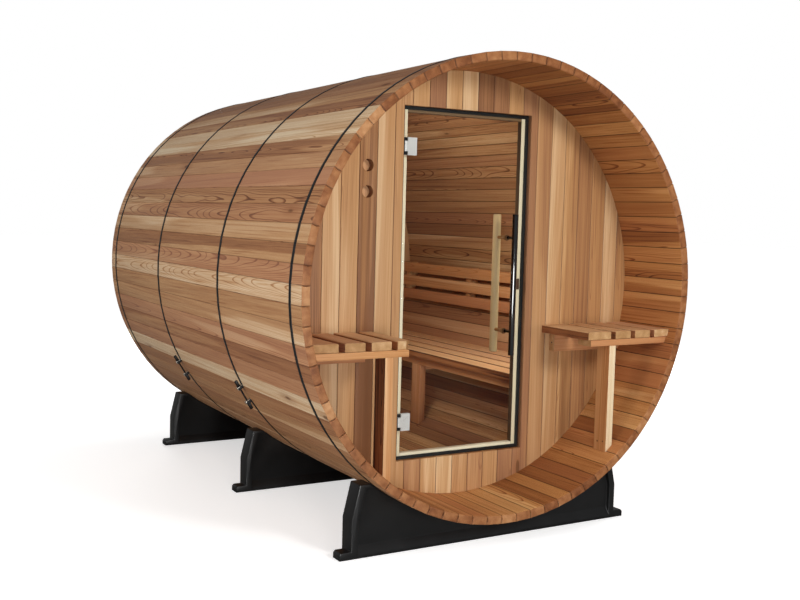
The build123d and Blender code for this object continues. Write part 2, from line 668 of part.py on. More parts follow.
porch_back = FRONT_WALL_DEPTH - FIT_GAP
left_edges = slat_edges(LEFT_INNER_EDGE, LEFT_INNER_SLAT, PORCH_SEAT_DROP)
left_slats = slat_bench(left_edges, PORCH_SEAT_DROP, PORCH_FRONT_DEPTH, porch_back, LEFT_CORNER_CUT)
save(on_left(left_slats), "porch_slats_left")
right_edges = slat_edges(RIGHT_INNER_EDGE, RIGHT_INNER_SLAT, PORCH_SEAT_DROP)
save(slat_bench(right_edges, PORCH_SEAT_DROP, PORCH_FRONT_DEPTH, porch_back), "porch_slats_right")
save(on_left(porch_frame(LEFT_INNER_EDGE, LEFT_RAIL_INSET, LEFT_POST_EDGE)), "porch_frame_left")
save(porch_frame(RIGHT_INNER_EDGE, RIGHT_RAIL_INSET, RIGHT_POST_EDGE), "porch_frame_right")

# Bench inside, on ledgers at both end walls, a bearer and a leg in the middle of the room.
bench_edges = slat_edges(BENCH_FRONT_EDGE, SLAT_WIDTH, BENCH_SEAT_DROP)
bench_start = ROOM_START + BENCH_END_GAP
bench_end = REAR_WALL_DEPTH - BENCH_END_GAP
save(slat_bench(bench_edges, BENCH_SEAT_DROP, bench_start, bench_end), "bench_slats")

RAIL_FACE = BENCH_FRONT_EDGE + BENCH_RAIL_SETBACK
BENCH_UNDERSIDE = -BENCH_SEAT_DROP - SLAT_THICKNESS
ROOM_MIDDLE = (ROOM_START + REAR_WALL_DEPTH) / 2

with BuildPart() as bench_frame:
    for depth in (ROOM_START, REAR_WALL_DEPTH - BEARER_THICKNESS):
        add(
            block(
                facing_plane(depth),
                (RAIL_FACE, BENCH_UNDERSIDE - BEARER_HEIGHT),
                (INNER_APOTHEM, BENCH_UNDERSIDE),
                BEARER_THICKNESS,
            )
        )
    add(
        block(
            facing_plane(ROOM_START + BEARER_THICKNESS + FIT_GAP),
            (RAIL_FACE, BENCH_UNDERSIDE - BENCH_RAIL_HEIGHT),
            (RAIL_FACE + BEARER_THICKNESS, BENCH_UNDERSIDE),
            REAR_WALL_DEPTH - ROOM_START - 2 * (BEARER_THICKNESS + FIT_GAP),
        )
    )
    add(
        block(
            facing_plane(ROOM_MIDDLE - BEARER_THICKNESS / 2),
            (RAIL_FACE + BEARER_THICKNESS + FIT_GAP, BENCH_UNDERSIDE - BEARER_HEIGHT),
            (INNER_APOTHEM, BENCH_UNDERSIDE),
            BEARER_THICKNESS,
        )
    )
    add(
        block(
            facing_plane(ROOM_MIDDLE - BENCH_LEG_LENGTH / 2),
            (RAIL_FACE, -INNER_APOTHEM),
            (RAIL_FACE + BEARER_THICKNESS, BENCH_UNDERSIDE - BENCH_RAIL_HEIGHT - FIT_GAP),
            BENCH_LEG_LENGTH,
        )
    )
    add(lining.part, mode=Mode.INTERSECT)
save(bench_frame.part, "bench_frame")

# Backrest: slats on studs that stand against the staves.
BACKREST_FACE = INNER_APOTHEM - BACKREST_REACH
BACKREST_START = ROOM_START + BACKREST_FRONT_GAP
BACKREST_END = REAR_WALL_DEPTH - BACKREST_REAR_GAP
BACKREST_HEIGHT = (BACKREST_COUNT - 1) * BACKREST_PITCH + BACKREST_SLAT_WIDTH
STUD_PITCH = (BACKREST_END - BACKREST_START - BACKREST_STUD_THICKNESS) / (BACKREST_STUD_COUNT - 1)

with BuildPart() as backrest:
    for row in range(BACKREST_COUNT):
        top = -BACKREST_TOP_DROP - row * BACKREST_PITCH
        add(
            block(
                facing_plane(BACKREST_START),
                (BACKREST_FACE, top - BACKREST_SLAT_WIDTH),
                (BACKREST_FACE + BACKREST_SLAT_THICKNESS, top),
                BACKREST_END - BACKREST_START,
            )
        )
    for place in range(BACKREST_STUD_COUNT):
        add(
            block(
                facing_plane(BACKREST_START + place * STUD_PITCH),
                (BACKREST_FACE + BACKREST_SLAT_THICKNESS + FIT_GAP, -BACKREST_TOP_DROP - BACKREST_HEIGHT),
                (INNER_APOTHEM, -BACKREST_TOP_DROP),
                BACKREST_STUD_THICKNESS,
            )
        )
    add(lining.part, mode=Mode.INTERSECT)
save(backrest.part, "backrest")
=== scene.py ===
import logging
import math
import random
from dataclasses import dataclass
from enum import Enum
from typing import Callable, Dict, List, Optional, Sequence, Tuple, Union

import bmesh
import bpy
from mathutils import Matrix, Vector


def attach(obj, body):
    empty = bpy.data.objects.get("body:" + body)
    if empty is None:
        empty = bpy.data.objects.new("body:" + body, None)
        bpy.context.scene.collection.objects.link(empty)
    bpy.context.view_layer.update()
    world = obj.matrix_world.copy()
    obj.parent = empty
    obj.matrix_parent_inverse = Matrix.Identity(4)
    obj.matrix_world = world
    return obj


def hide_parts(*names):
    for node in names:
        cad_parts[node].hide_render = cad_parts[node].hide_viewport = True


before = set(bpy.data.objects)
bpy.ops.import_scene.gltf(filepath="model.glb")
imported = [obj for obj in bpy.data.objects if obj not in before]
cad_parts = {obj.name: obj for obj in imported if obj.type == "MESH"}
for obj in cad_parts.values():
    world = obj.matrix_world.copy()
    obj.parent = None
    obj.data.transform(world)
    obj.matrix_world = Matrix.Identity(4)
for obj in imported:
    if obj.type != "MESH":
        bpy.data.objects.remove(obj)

# A barrel sauna's finishes, finer pieces and studio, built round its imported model. Metres.

Pair = Tuple[float, float]
Triple = Tuple[float, float, float]
Quad = Tuple[float, float, float, float]
Profile = Sequence[Pair]  # radii and heights of a turned shape, from one end to the other
Stops = Tuple[Tuple[float, str], ...]
Tones = Dict[int, Pair]

LOG = logging.getLogger("barrel_sauna")

AXIS_HEIGHT = 0.986
FRONT_RIM = -1.219
STAVE_COUNT = 80
STAVE_RUNS = 16
BOARD_PITCH = 0.077
FACING = 0.7  # the least share of a normal along a direction that a face looks in
SHORTEST_EASED = 2.2  # the shortest edge that is rounded, in widths of the rounding
SHADED_TONE = -0.2
HEART_AWAY = (0.03, 0.16)  # how far a board may be from the heart of its log
TILT = 0.02  # the most that a board leans in its log, as a slope
LOG_LENGTH = 400.0
WHITE = (1.0, 1.0, 1.0, 1.0)


class Layout(Enum):
    """How the boards of a wooden surface lie beside each other."""

    LOOSE = "loose"
    STAVES = "staves"
    BOARDS = "boards"

    def number(self, middle: Vector) -> int:
        """The stave's number from the top towards the right, or the board's from the middle."""
        if self is Layout.STAVES:
            return round(math.atan2(middle.x, middle.z - AXIS_HEIGHT) * STAVE_COUNT / math.tau)
        return round(middle.x / BOARD_PITCH)


class Upright(Enum):
    """Which sides of upright pieces of wood get painted light and painted shade."""

    PLAIN = "plain"
    # A front made pale as painted light; a left side darkened and flanks browned as painted shade.
    PALE_FRONT = "pale front"
    DARK_SIDE = "dark side"
    BROWN_SIDES = "brown sides"


@dataclass(frozen=True)
class Picks:
    """Tones and blushes chosen for neighbouring staves or boards, from one number on."""

    first: int
    tones: Tuple[float, ...]
    blushes: Tuple[float, ...]
    step: int = 1

    @staticmethod
    def gather(groups: Sequence["Picks"]) -> Tones:
        """The tone and blush of every number in some groups."""
        return {
            group.first + place * group.step: pair
            for group in groups
            for place, pair in enumerate(zip(group.tones, group.blushes))
        }


def tint(code: str) -> Quad:
    """A screen colour, written as six hexadecimal digits, in linear light for a shader."""
    parts = [int(code[i : i + 2], 16) / 255 for i in (0, 2, 4)]
    linear = [c / 12.92 if c <= 0.04045 else ((c + 0.055) / 1.055) ** 2.4 for c in parts]
    return (linear[0], linear[1], linear[2], 1.0)


# ---- Shader maths --------------------
def node_of(operation: str, swapped: bool = False) -> Callable[["Wire", "Operand"], "Wire"]:
    """A Python operator that adds a Math node, with the other value first if swapped."""

    def operator(wire: "Wire", other: "Operand") -> "Wire":
        """Adds the node."""
        return wire.net.maths(operation, *((other, wire) if swapped else (wire, other)))

    return operator


class Wire:
    """The output of a shader node, which Python's operators can be used on."""

    __add__ = __radd__ = node_of("ADD")
    __sub__, __rsub__ = node_of("SUBTRACT"), node_of("SUBTRACT", swapped=True)
    __mul__, __truediv__, __pow__ = node_of("MULTIPLY"), node_of("DIVIDE"), node_of("POWER")

    def __init__(self, net: "Net", socket: bpy.types.NodeSocket) -> None:
        """Wraps one output socket of a net's node."""
        self.net = net
        self.socket = socket

    def maths(self, operation: str, *others: "Operand") -> "Wire":
        """A Math node with this wire as its first value."""
        return self.net.maths(operation, self, *others)

    def ramp(self, low: float, high: float) -> "Wire":
        """A smooth step from 0 at low to 1 at high, which may be the lower of the two."""
        settings = {"interpolation_type": "SMOOTHSTEP"}
        values = {"Value": self, "From Min": low, "From Max": high}
        return self.net.add("ShaderNodeMapRange", settings, values)


Operand = Union[Wire, float]


class Net:
    """A material's or world's node tree, built through a single method that adds nodes."""

    def __init__(self, owner: Union[bpy.types.Material, bpy.types.World]) -> None:
        """Empties the node tree of a new material or world."""
        self.owner = owner
        owner.use_nodes = True
        self.tree = owner.node_tree
        self.tree.nodes.clear()

    @classmethod
    def of_material(cls, name: str) -> "Net":
        """The net of a new material."""
        return cls(bpy.data.materials.new(name))

    def add(
        self,
        kind: str,
        settings: Optional[Dict[str, object]] = None,
        values: Optional[Dict[Union[str, int], object]] = None,
        output: Union[str, int] = 0,
    ) -> Wire:
        """Adds a node.

        Args:
            kind: the node's type.
            settings: its own settings, set first. "stops" are a colour ramp's places and colours.
            values: numbers, colours or wires for its input sockets.
            output: the socket that is handed back.

        Returns:
            The node's output as a wire.
        """
        node = self.tree.nodes.new(kind)
        for key, value in (settings or {}).items():
            if key == "stops":
                self._set_stops(node.color_ramp, value)
            else:
                setattr(node, key, value)
        for key, value in (values or {}).items():
            if isinstance(value, Wire):
                self.tree.links.new(value.socket, node.inputs[key])
            else:
                node.inputs[key].default_value = value
        return Wire(self, node.outputs[output])

    @staticmethod
    def _set_stops(ramp: bpy.types.ColorRamp, stops: Stops) -> None:
        """Gives a colour ramp these places and colours."""
        while len(ramp.elements) < len(stops):
            ramp.elements.new(0.5)
        for element, (place, code) in zip(ramp.elements, stops):
            element.position = place
            element.color = tint(code)

    def maths(self, operation: str, *operands: Operand) -> Wire:
        """A Math node on wires and numbers."""
        return self.add("ShaderNodeMath", {"operation": operation}, dict(enumerate(operands)))

    def vector(self, operation: str, *operands: object) -> Wire:
        """A Vector Math node on wires and triples."""
        return self.add("ShaderNodeVectorMath", {"operation": operation}, dict(enumerate(operands)))

    def place(self) -> Wire:
        """The point of the surface, in the object's own metres."""
        return self.add("ShaderNodeTexCoord", output="Object")

    def attribute(self, name: str, output: str = "Fac") -> Wire:
        """A value that a piece's mesh carries."""
        return self.add("ShaderNodeAttribute", {"attribute_name": name}, output=output)

    def split(self, wire: Wire) -> Tuple[Wire, ...]:
        """The three parts of a vector."""
        parts = self.add("ShaderNodeSeparateXYZ", values={0: wire})
        return tuple(Wire(self, socket) for socket in parts.socket.node.outputs)

    def noise(self, at: Wire, scale: Triple, detail: float = 2.0, rough: float = 0.5) -> Wire:
        """Smooth noise around 0.5, with its own scale for each direction, in waves a metre."""
        stretched = self.vector("MULTIPLY", at, scale)
        values = {"Vector": stretched, "Scale": 1.0, "Detail": detail, "Roughness": rough}
        return self.add("ShaderNodeTexNoise", values=values)

    def mix(self, share: Operand, first: object, second: object, kind: str = "MIX") -> Wire:
        """A colour between two, or the two blended in another way."""
        settings = {"data_type": "RGBA", "blend_type": kind, "clamp_factor": True}
        return self.add("ShaderNodeMix", settings, {0: share, 6: first, 7: second}, output=2)

    def colours(self, share: Wire, stops: Stops) -> Wire:
        """A colour ramp."""
        return self.add("ShaderNodeValToRGB", {"stops": stops}, {0: share})

    def bump(self, height: Wire, depth: float, strength: float = 1.0) -> Wire:
        """A normal from a height of 0 to 1, which stands for this depth in metres."""
        values = {"Height": height, "Distance": depth, "Strength": strength}
        return self.add("ShaderNodeBump", values=values)

    def finish(
        self, shader: Wire, output: str = "ShaderNodeOutputMaterial"
    ) -> Union[bpy.types.Material, bpy.types.World]:
        """Joins a shader to the output and hands back the material or world."""
        last = self.tree.nodes.new(output)
        self.tree.links.new(shader.socket, last.inputs["Surface"])
        return self.owner

    def surface(self, values: Dict[Union[str, int], object]) -> bpy.types.Material:
        """Ends the net in a Principled shader with these values."""
        return self.finish(self.add("ShaderNodeBsdfPrincipled", values=values))


# ---- Finishes ------------------------
# Waves a metre of each pattern in the wood: across the log, into it and along it.
BANDS = (26.0, 26.0, 0.8)
STREAKS = (130.0, 130.0, 1.3)
FIBRES = (420.0, 420.0, 7.0)
VEINS = (165.0, 165.0, 0.9)
SAPWOOD = (11.0, 11.0, 0.35)
END_CLOUDS = (34.0, 34.0, 0.4)
KNOTS = (9.0, 9.0, 2.6)

# What the end grain's colour starts from, and the weights of what changes it.
END_BASE, END_TONE, END_CLOUD, END_RING = 0.12, 0.8, 0.7, 0.22

# Where each feature fades in or out: in its own noise, in shares of a ring, in cells of the log,
# in metres from the barrel's axis or from the front rim, and in staves or boards.
VEIN_EDGE = (0.58, 0.68)
SAPWOOD_EDGE = (0.57, 0.62)
LATE_WOOD = (0.74, 0.93)
LATE_WOOD_AT_ENDS = (0.2, 0.9)
RING_END = (0.95, 1.0)
KNOT_CHANCE = (0.88, 0.90)
KNOT_RING = (0.30, 0.08)
KNOT_HEART = (0.11, 0.07)
# INSIDE marks the staves' inner faces, which take painted shade and darker joints; PORCH marks
# where the porch's painted shade gives way to the indoor one.
INSIDE = (0.886, 0.878)
PORCH = (FRONT_RIM + 0.40, FRONT_RIM + 0.36)
SEAM = (0.034, 0.014)


@dataclass(frozen=True)
class Cedar:
    """Sawn wood whose rings, end grain and knots follow each board's own place in the log."""

    name: str
    shades: Stops
    end_shades: Stops
    blush: str = "C08468"
    blush_share: float = 0.45
    spread: float = 1.0
    streaks: float = 0.34
    ring: float = 0.0023
    ring_depth: float = 0.42
    vein: float = 0.16
    fibre: float = 0.16
    relief: float = 0.0005
    wave: float = 2.4
    swirl: float = 0.014
    knots: float = 1.0
    roughness: float = 0.56
    specular: float = 0.25
    layout: Layout = Layout.LOOSE
    # The painted shade multiplied onto the staves' inner faces: on the porch, and indoors.
    inner_shade_tint: str = "FFFFFF"
    indoor_shade_tint: str = "F8F9F0"
    joint: str = "2A1509"
    joint_outside: float = 0.24
    joint_inside: float = 0.92
    joint_at_ends: float = 0.5
    outer_wood: float = 0.22

    def material(self) -> bpy.types.Material:
        """Builds the shader."""
        net = Net.of_material(self.name)
        grain = net.attribute("grain", "Vector")
        tone = net.attribute("tone")
        hue = net.attribute("hue")
        end = net.attribute("end")
        across, deep, _ = net.split(grain)

        warp = net.noise(grain, (6.0, 6.0, self.wave), 1.5) - 0.5
        radius = (across * across + deep * deep) ** 0.5 + warp * self.swirl
        ring = (radius / self.ring).maths("FRACT")
        late = ring.ramp(*LATE_WOOD) * (1 - ring.ramp(*RING_END))
        bands = net.noise(grain, BANDS, 3.0, 0.6)
        streak = net.noise(grain, STREAKS, 2.0, 0.6)
        fibres = net.noise(grain, FIBRES, 2.0, 0.6)
        veins = net.noise(grain, VEINS, 1.0).ramp(*VEIN_EDGE)
        sapwood = net.noise(grain, SAPWOOD, 1.0).ramp(*SAPWOOD_EDGE)

        value = 0.5 + (tone - 0.5) * self.spread
        value = value + (bands - 0.5) * self.streaks + (fibres - 0.5) * self.fibre
        value = value + (streak - 0.5) * self.streaks
        value = value - late * self.ring_depth + sapwood * self.outer_wood - veins * self.vein
        face = net.colours(value, self.shades)
        face = net.mix(hue * self.blush_share, face, tint(self.blush))
        face = self._knotted(net, grain, face)

        late_end = ring.ramp(*LATE_WOOD_AT_ENDS) * (1 - ring.ramp(*RING_END))
        dark = net.noise(grain, END_CLOUDS, 2.0)
        end_value = END_BASE + tone * END_TONE + (dark - 0.5) * END_CLOUD - late_end * END_RING
        butt = net.colours(end_value, self.end_shades)
        colour = self._fitted(net, face, butt, end)

        values = {
            "Base Color": colour,
            "Roughness": self.roughness + (fibres - 0.5) * 0.22 + end * 0.14,
            "Normal": net.bump(fibres * 0.6 + (1 - late) * 0.4, self.relief, 0.55),
            "Specular IOR Level": self.specular,
        }
        return net.surface(values)

    def _knotted(self, net: Net, grain: Wire, face: Wire) -> Wire:
        """Puts knots, each with a brown ring, in a few cells of the log.

        Args:
            net: the net under way.
            grain: the place in the log.
            face: the wood's colour along the grain.

        Returns:
            The colour with the knots in it.
        """
        cell = net.vector("MULTIPLY", grain, KNOTS)
        settings = {"feature": "F1"}
        spot = net.add("ShaderNodeTexVoronoi", settings, {"Vector": cell, "Scale": 1.0})
        distance = Wire(net, spot.socket.node.outputs["Distance"])
        chance = net.split(Wire(net, spot.socket.node.outputs["Color"]))[0]
        rare = chance.ramp(*KNOT_CHANCE) * self.knots
        face = net.mix(distance.ramp(*KNOT_RING) * rare * 0.35, face, tint("8A5230"))
        return net.mix(distance.ramp(*KNOT_HEART) * rare * 0.7, face, tint("54301A"))

    def _fitted(self, net: Net, face: Wire, butt: Wire, end: Wire) -> Wire:
        """Multiplies painted shade onto the staves' inner faces, warm on the porch and faint
        indoors, and darkens the joints.

        Args:
            net: the net under way.
            face: the wood's colour along the grain.
            butt: its colour across the grain.
            end: how far a face is end grain.

        Returns:
            The colour with the joints between staves or boards in it.
        """
        if self.layout is Layout.LOOSE:
            return net.mix(end, face, butt)
        x, y, z = net.split(net.place())
        rise = z - AXIS_HEIGHT
        turn, depth = x / BOARD_PITCH, self.joint_inside
        if self.layout is Layout.STAVES:
            turn = x.maths("ARCTAN2", rise) * (STAVE_COUNT / math.tau)
            # Painted shade: the inner faces are multiplied by the porch's shade tint on the porch
            # and by the indoor one further in.
            sheltered = ((x * x + rise * rise) ** 0.5).ramp(*INSIDE)
            inner_shade_tint = net.mix(y.ramp(*PORCH), tint(self.indoor_shade_tint), tint(self.inner_shade_tint))
            face = net.mix(sheltered, face, inner_shade_tint, "MULTIPLY")
            depth = sheltered * (self.joint_inside - self.joint_outside) + self.joint_outside
        depth = end * (self.joint_at_ends - depth) + depth
        seam = (turn.maths("FRACT") - 0.5).maths("ABSOLUTE").ramp(*SEAM)
        return net.mix(seam * depth, net.mix(end, face, butt), tint(self.joint))


@dataclass(frozen=True)
class Coat:
    """A painted, moulded or plated surface with fine texture and light marks of use."""

    name: str
    colour: str
    second: str
    roughness: float
    metallic: float = 0.0
    coat: float = 0.0
    mottle: float = 40.0
    texture: float = 900.0
    depth: float = 0.00008
    specular: float = 0.5

    def material(self) -> bpy.types.Material:
        """Builds the shader."""
        net = Net.of_material(self.name)
        at = net.place()
        cloud = net.noise(at, (self.mottle,) * 3, 3.0, 0.55)
        fine = net.noise(at, (self.texture,) * 3, 2.0)
        colour = net.mix(cloud.ramp(0.35, 0.75), tint(self.colour), tint(self.second))
        values = {
            "Base Color": colour,
            "Roughness": self.roughness + (cloud - 0.5) * 0.2 + (fine - 0.5) * 0.06,
            "Metallic": self.metallic,
            "Coat Weight": self.coat,
            "Coat Roughness": 0.06,
            "Specular IOR Level": self.specular,
            "Normal": net.bump(fine, self.depth, 0.6),
        }
        return net.surface(values)


@dataclass(frozen=True)
class Pane:
    """Clear toughened glass, a little tinted, with smears that only its shine shows."""

    name: str
    through: str = "FCFDFC"
    mirror: float = 0.4

    def material(self) -> bpy.types.Material:
        """Builds the shader."""
        net = Net.of_material(self.name)
        smear = net.noise(net.place(), (7.0, 7.0, 2.5), 3.0)
        clear = net.add("ShaderNodeBsdfTransparent", values={0: tint(self.through)})
        shine = net.add(
            "ShaderNodeBsdfGlossy", values={"Color": WHITE, "Roughness": 0.03 + smear * 0.03}
        )
        outside = 1 - net.add("ShaderNodeNewGeometry", output="Backfacing")
        share = net.add("ShaderNodeFresnel", values={"IOR": 1.45}) * self.mirror * outside
        return net.finish(net.add("ShaderNodeMixShader", values={0: share, 1: clear, 2: shine}))


@dataclass(frozen=True)
class Paper:
    """The studio's white floor, which glows a little so that it meets the backdrop, and glows
    greyer near the object as a painted shadow.
    """

    name: str
    glow: float = 0.74
    # The glow's colour near the object, a painted shadow.
    painted_shadow: str = "D6D6D6"
    throw: str = "9A9A98"

    def material(self) -> bpy.types.Material:
        """Builds the shader. What it throws back on the object is weaker than what is seen."""
        net = Net.of_material(self.name)
        cloud = net.noise(net.place(), (0.8, 0.8, 0.8), 2.0)
        far = net.add("ShaderNodeVectorMath", {"operation": "LENGTH"}, {0: net.place()}, "Value")
        values = {
            "Base Color": net.mix(cloud, tint("FAFAFA"), tint("FFFFFF")),
            "Roughness": 0.95,
            "Specular IOR Level": 0.0,
            # Painted shadow: the glow is greyer within a few metres of the object.
            "Emission Color": net.mix(far.ramp(1.0, 4.5), tint(self.painted_shadow), tint("FFFFFF")),
            "Emission Strength": self.glow,
        }
        seen = net.add("ShaderNodeBsdfPrincipled", values=values)
        thrown = net.add("ShaderNodeBsdfDiffuse", values={"Color": tint(self.throw)})
        straight = net.add("ShaderNodeLightPath", output="Is Camera Ray")
        return net.finish(net.add("ShaderNodeMixShader", values={0: straight, 1: thrown, 2: seen}))


# Wood of one tone without knots.
EVEN = {"blush_share": 0.0, "spread": 0.4, "streaks": 0.2, "ring_depth": 0.1, "knots": 0.0}


class Finish(Enum):
    """Every finish on the sauna."""

    STAVE = Cedar(
        "stave_cedar",
        (
            *((0.02, "5F3A24"), (0.22, "8A5A3A"), (0.42, "A9774F")),
            *((0.62, "C4976A"), (0.80, "D8B38A"), (0.98, "EBD4B2")),
        ),
        ((0.0, "5A3018"), (0.35, "8C5632"), (0.65, "AE784C"), (1.0, "D0A072")),
        layout=Layout.STAVES,
        # A warm painted shade on the inner faces of the porch's staves.
        inner_shade_tint="F6DEB8",
    )
    BOARD = Cedar(
        "board_cedar",
        (
            *((0.05, "84593A"), (0.30, "A8794F"), (0.55, "BE905F")),
            *((0.78, "CDA374"), (1.0, "DEBD92")),
        ),
        ((0.0, "6B3D20"), (0.4, "A06A3E"), (1.0, "D2A272")),
        blush="AC7C60",
        blush_share=0.42,
        spread=1.3,
        streaks=0.55,
        ring_depth=0.2,
        wave=0.8,
        knots=0.8,
        layout=Layout.BOARDS,
        joint="5A3318",
        joint_inside=0.55,
    )
    BENCH = Cedar(
        "bench_cedar",
        (
            *((0.0, "401E0C"), (0.14, "8A522E"), (0.35, "AE7040")),
            *((0.65, "C8905C"), (1.0, "E2B686")),
        ),
        # The palest end shade also serves the painted light on the right post's lit front.
        ((0.0, "8A5E38"), (0.4, "A87C4E"), (0.75, "C89E70"), (1.0, "F2E0BC")),
        spread=0.8,
        streaks=0.4,
        ring_depth=0.2,
        wave=0.8,
        knots=0.35,
    )
    FRAME = Cedar(
        "pale_frame_wood",
        ((0.0, "DCC8A2"), (0.5, "F0E2C4"), (1.0, "FAF1DE")),
        # These browns colour end grain and also the painted shade on the frame's flanks and head.
        ((0.0, "54402C"), (1.0, "86684A")),
        **EVEN,
    )
    PULL = Cedar(
        "pale_turned_wood",
        ((0.0, "A8875C"), (0.5, "C8AA7C"), (1.0, "DCC49C")),
        ((0.0, "A8875C"), (1.0, "D0B084")),
        **EVEN,
    )
    SPINDLE = Cedar(
        "turned_brown_wood",
        ((0.0, "6A4326"), (0.5, "8E6238"), (1.0, "A97B4C")),
        ((0.0, "5A3820"), (1.0, "8A6038")),
        **EVEN,
    )
    LUG = Coat("hoop_lug_steel", "B0A698", "C8BEB0", 0.38, metallic=0.6, mottle=120.0)
    HOOP = Coat("hoop_black_steel", "070707", "0F0E0E", 0.48, specular=0.35)
    BOLT = Coat("tension_bolt_steel", "141417", "2A2A2E", 0.36, metallic=0.6)
    CRADLE = Coat("moulded_black", "070708", "0D0D0E", 0.42, mottle=9.0, texture=1400.0)
    SEAL = Coat("black_rubber", "060606", "0C0C0C", 0.7)
    CATCH = Coat("catch_brown", "4A2E1E", "5A3A26", 0.4)
    PLATE = Coat(
        "satin_plate", "DADCD8", "E8EAE6", 0.28, metallic=0.4, mottle=6.0, depth=0.00001
    )
    BRACKET = Coat("bracket_black", "0E0E10", "1A1A1C", 0.4, coat=0.1)
    GLOSS = Coat("gloss_black", "050506", "0A0A0B", 0.12, coat=0.6, depth=0.00002)
    GLASS = Pane("door_glass")
    FLOOR = Paper("studio_floor")


class Paints:
    """Makes each finish's material once."""

    def __init__(self) -> None:
        """Starts with none made."""
        self._made: Dict[Finish, bpy.types.Material] = {}

    def get(self, finish: Finish) -> bpy.types.Material:
        """The material of a finish."""
        if finish not in self._made:
            self._made[finish] = finish.value.material()
        return self._made[finish]


